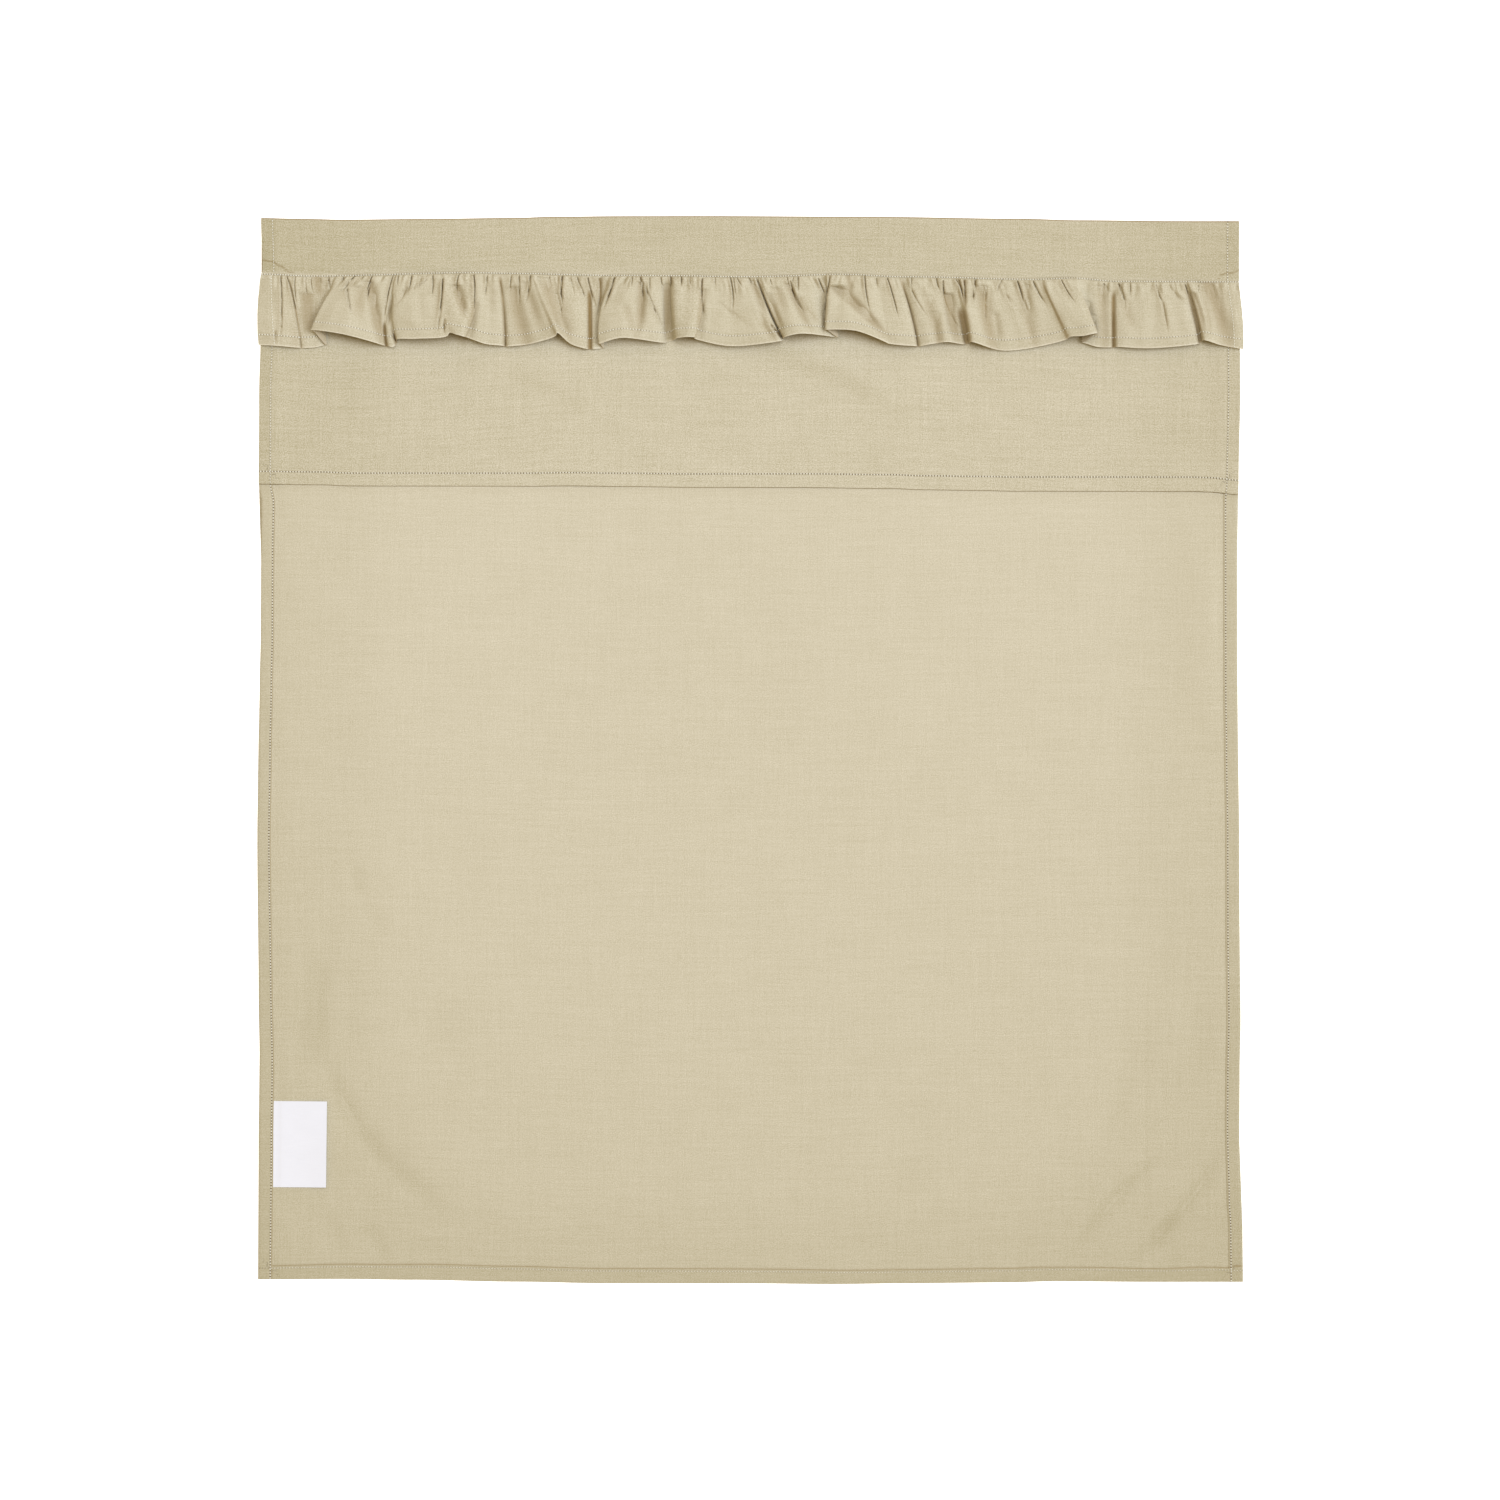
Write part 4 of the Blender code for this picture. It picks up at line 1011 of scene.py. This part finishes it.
def cotton_material(name):
    nodes = Nodes(name)
    place = nodes.attribute("flat_mm", "Vector")
    # The layers' tone, with painted shade and a painted highlight in it.
    plies_and_painted_light = nodes.attribute("plies_and_painted_light")
    weft = nodes.streaks(place, 1.0, 10.0)
    warp = nodes.streaks(place, 1.0, 8.0, turned=True)
    bars = nodes.threads(place, 0.75, 55.0)
    ends = nodes.threads(place, 0.75, 45.0, turned=True)
    cloud = nodes.streaks(place, 30.0, 40.0)
    grain = nodes.crossings(place, 0.62)
    fine = nodes.streaks(place, 0.8, 0.8)
    contrast = nodes.attribute("contrast")
    amounts = [(weft, 0.5), (warp, 0.4), (bars, 0.95), (ends, 0.75),
               (cloud, 0.25), (grain, 0.6), (fine, 4.0)]
    woven = 0.0
    for part, amount in amounts:
        woven = nodes.maths("MULTIPLY_ADD", part, amount, woven)
    tone = nodes.maths("MULTIPLY_ADD", woven, contrast, plies_and_painted_light)
    colour = nodes.mix(tone, (*COTTON_LIGHT, 1), (*COTTON_DEEP, 1))

    speck = nodes.add("TexVoronoi", {"feature": "F1"}, Vector=place, Scale=1 / 45)
    dot = nodes.maths("LESS_THAN", speck.outputs["Distance"], 0.35 / 45)
    colour = nodes.mix(nodes.maths("MULTIPLY", dot, 0.5), colour, (*SHADE_AND_SPECK_BROWN, 1))
    # Painted shade from the shade attribute: in the pinches of creases and hems, in the gaps between the
    # frill's folds, under its laps, at the seam and at the tucks.
    colour = nodes.mix(nodes.attribute("shade"), colour, (*SHADE_AND_SPECK_BROWN, 1))

    # Painted shadow: a thin dark line and a soft halo below the frill's hem and below the turned-down
    # edge.
    below = nodes.parts(nodes.attribute("below_mm", "Vector"))
    line = nodes.maths("MULTIPLY", nodes.fade(below[0], 0.1, 0.8), below[1])
    halo = nodes.maths("MULTIPLY", nodes.fade(below[0], -1.0, 12.0), below[2])
    colour = nodes.mix(nodes.maths("MAXIMUM", line, halo), colour, (*SHADE_AND_SPECK_BROWN, 1))

    # Painted shade in the needle holes between stitches, which also dents the bump a little.
    stitch = nodes.parts(nodes.attribute("stitch_mm", "Vector"))
    turns = nodes.maths("FRACT", nodes.maths("DIVIDE", stitch[0], PITCH))
    off_centre = nodes.maths("ABSOLUTE", nodes.maths("SUBTRACT", turns, 0.5))
    from_hole = nodes.maths("MULTIPLY", nodes.maths("SUBTRACT", 0.5, off_centre), PITCH)
    squares = [nodes.maths("POWER", part, 2.0) for part in (from_hole, stitch[1])]
    away = nodes.maths("SQRT", nodes.maths("ADD", *squares))
    hole_shade_and_dent = nodes.maths("MULTIPLY", nodes.fade(away, 0.35, 0.8), stitch[2])
    colour = nodes.mix(hole_shade_and_dent, colour, (*HOLE_SHADE_BROWN, 1))

    height = nodes.maths("ADD", weft, warp)
    height = nodes.maths("SUBTRACT", height, hole_shade_and_dent)
    bump = nodes.add("Bump", Height=height, Strength=0.5, Distance=0.00012)
    return nodes.finished(Base_Color=colour, Normal=bump.outputs[0], Roughness=0.88,
                          Specular_IOR_Level=0.25, Sheen_Weight=0.08, Sheen_Roughness=0.5)


def thread_material():
    nodes = Nodes("thread")
    where = nodes.add("TexCoord").outputs["Object"]
    noise = nodes.add("TexNoise", Vector=where, Scale=900.0, Detail=1.0)
    colour = nodes.mix(noise.outputs["Fac"], (*THREAD, 1), (*[0.86 * part for part in THREAD], 1))
    return nodes.finished(Base_Color=colour, Roughness=0.6)


def label_material():
    nodes = Nodes("label_tape")
    place = nodes.attribute("flat_mm", "Vector")
    ribs = nodes.streaks(place, 0.35, 12.0)
    cloud = nodes.streaks(place, 9.0, 14.0)
    tone = nodes.maths("MULTIPLY_ADD", ribs, 0.25, nodes.maths("MULTIPLY", cloud, 0.2))
    colour = nodes.mix(tone, (*LABEL_WHITE, 1), (*[0.8 * part for part in LABEL_WHITE], 1))
    bump = nodes.add("Bump", Height=ribs, Strength=0.4, Distance=0.00005)
    return nodes.finished(Base_Color=colour, Normal=bump.outputs[0], Roughness=0.55, Sheen_Weight=0.1)


def floor_material():
    return Nodes("pale_floor").finished(Base_Color=(*FLOOR_WHITE, 1), Roughness=0.95,
                                        Specular_IOR_Level=0.0, Emission_Color=(1.0, 1.0, 1.0, 1),
                                        Emission_Strength=0.8)


def make_floor():
    mesh = bpy.data.meshes.new("floor")
    reach = 4.0
    corners = [(-reach, -reach, 0), (reach, -reach, 0), (reach, reach, 0), (-reach, reach, 0)]
    mesh.from_pydata(corners, [], [(0, 1, 2, 3)])
    mesh.materials.append(floor_material())
    made = placed("floor", mesh)
    made.location.z = -0.0001


def aim(obj, target):
    obj.rotation_euler = (Vector(target) - obj.location).to_track_quat("-Z", "Y").to_euler()


def make_lights():
    sun = placed("key", bpy.data.lights.new("key", "SUN"))
    sun.data.energy = 2.0
    sun.data.angle = math.radians(36)
    sun.data.color = COOL_LIGHT
    sun.location = (3.0, 0.2, 3.0)
    aim(sun, (0, 0, 0))
    soft = placed("overhead", bpy.data.lights.new("overhead", "AREA"))
    soft.data.shape = "RECTANGLE"
    soft.data.size = 2.2
    soft.data.size_y = 1.6
    soft.data.energy = 32
    soft.data.color = COOL_LIGHT
    soft.location = (0.0, 1.1, 3.0)
    aim(soft, (0, 0.1, 0))
    world = bpy.data.worlds.new("studio")
    world.use_nodes = True
    background = world.node_tree.nodes["Background"]
    background.inputs["Color"].default_value = (*WARM_LIGHT, 1)
    background.inputs["Strength"].default_value = 0.6
    bpy.context.scene.world = world


def make_camera():
    camera = placed("camera", bpy.data.cameras.new("camera"))
    camera.data.lens = LENS_MM
    camera.data.sensor_width = 36.0
    camera.data.clip_end = 50
    camera.location = (0.00027, -0.00038, CAMERA_HEIGHT)
    bpy.context.scene.camera = camera


def line_of(grid, normals, rows, columns):
    """A line of points on a cloth, with its normals."""
    return grid[rows, columns], normals[rows, columns]


make_camera()
make_lights()
make_floor()
bpy.context.scene.view_settings.view_transform = "Standard"

cotton = cotton_material("cotton_weave")
thread = thread_material()

sheet, over, under, first_down = make_sheet(cotton)
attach(sheet, "root")
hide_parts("sheet")

frill, frill_top, frill_arc = make_frill(cotton)
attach(frill, "root")
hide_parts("frill")

label = make_label(label_material())
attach(label, "root")
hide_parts("care_label")

station = int(np.argmin(np.abs(HEM_STATIONS - STITCHED_AT)))
up = normals_of(over)
down_up = -normals_of(under)
turned = slice(first_down, None)
flat_part = slice(0, first_down - ROLL_ROWS)
sheet_lines = []
for column in (station, -1 - station):
    sheet_lines.append(stitch_line(*line_of(over, up, flat_part, column), PITCH))
    sheet_lines.append(stitch_line(*line_of(under, down_up, turned, column), PITCH))
sheet_lines.append(stitch_line(*line_of(over, up, station, slice(station, -1)), PITCH, 0.75))
sheet_lines.append(stitch_line(*line_of(under, down_up, -1 - station, slice(1, -1)), PITCH))
sheet_stitches = make_stitches("sheet_stitches", sheet_lines, thread, 31)
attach(sheet_stitches, "root")

frill_up = -normals_of(frill_top)
hem_row = int(np.argmin(np.abs(FRILL_SHARES - FRILL_STITCHED_AT)))
seam = seam_points(frill_top)
left_end = int(np.searchsorted(frill_arc, END_HEM))
right_end = int(np.searchsorted(frill_arc, frill_arc[-1] - END_HEM))
frill_lines = [
    stitch_line(*line_of(frill_top, frill_up, hem_row, slice(None)), PITCH),
    stitch_line(seam, np.tile([0.0, 0.0, 1.0], (len(seam), 1)), SEAM_PITCH),
    stitch_line(*line_of(frill_top, frill_up, slice(5, None), left_end), PITCH),
    stitch_line(*line_of(frill_top, frill_up, slice(5, None), right_end), PITCH),
]
frill_stitches = make_stitches("frill_stitches", frill_lines, thread, 32)
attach(frill_stitches, "root")
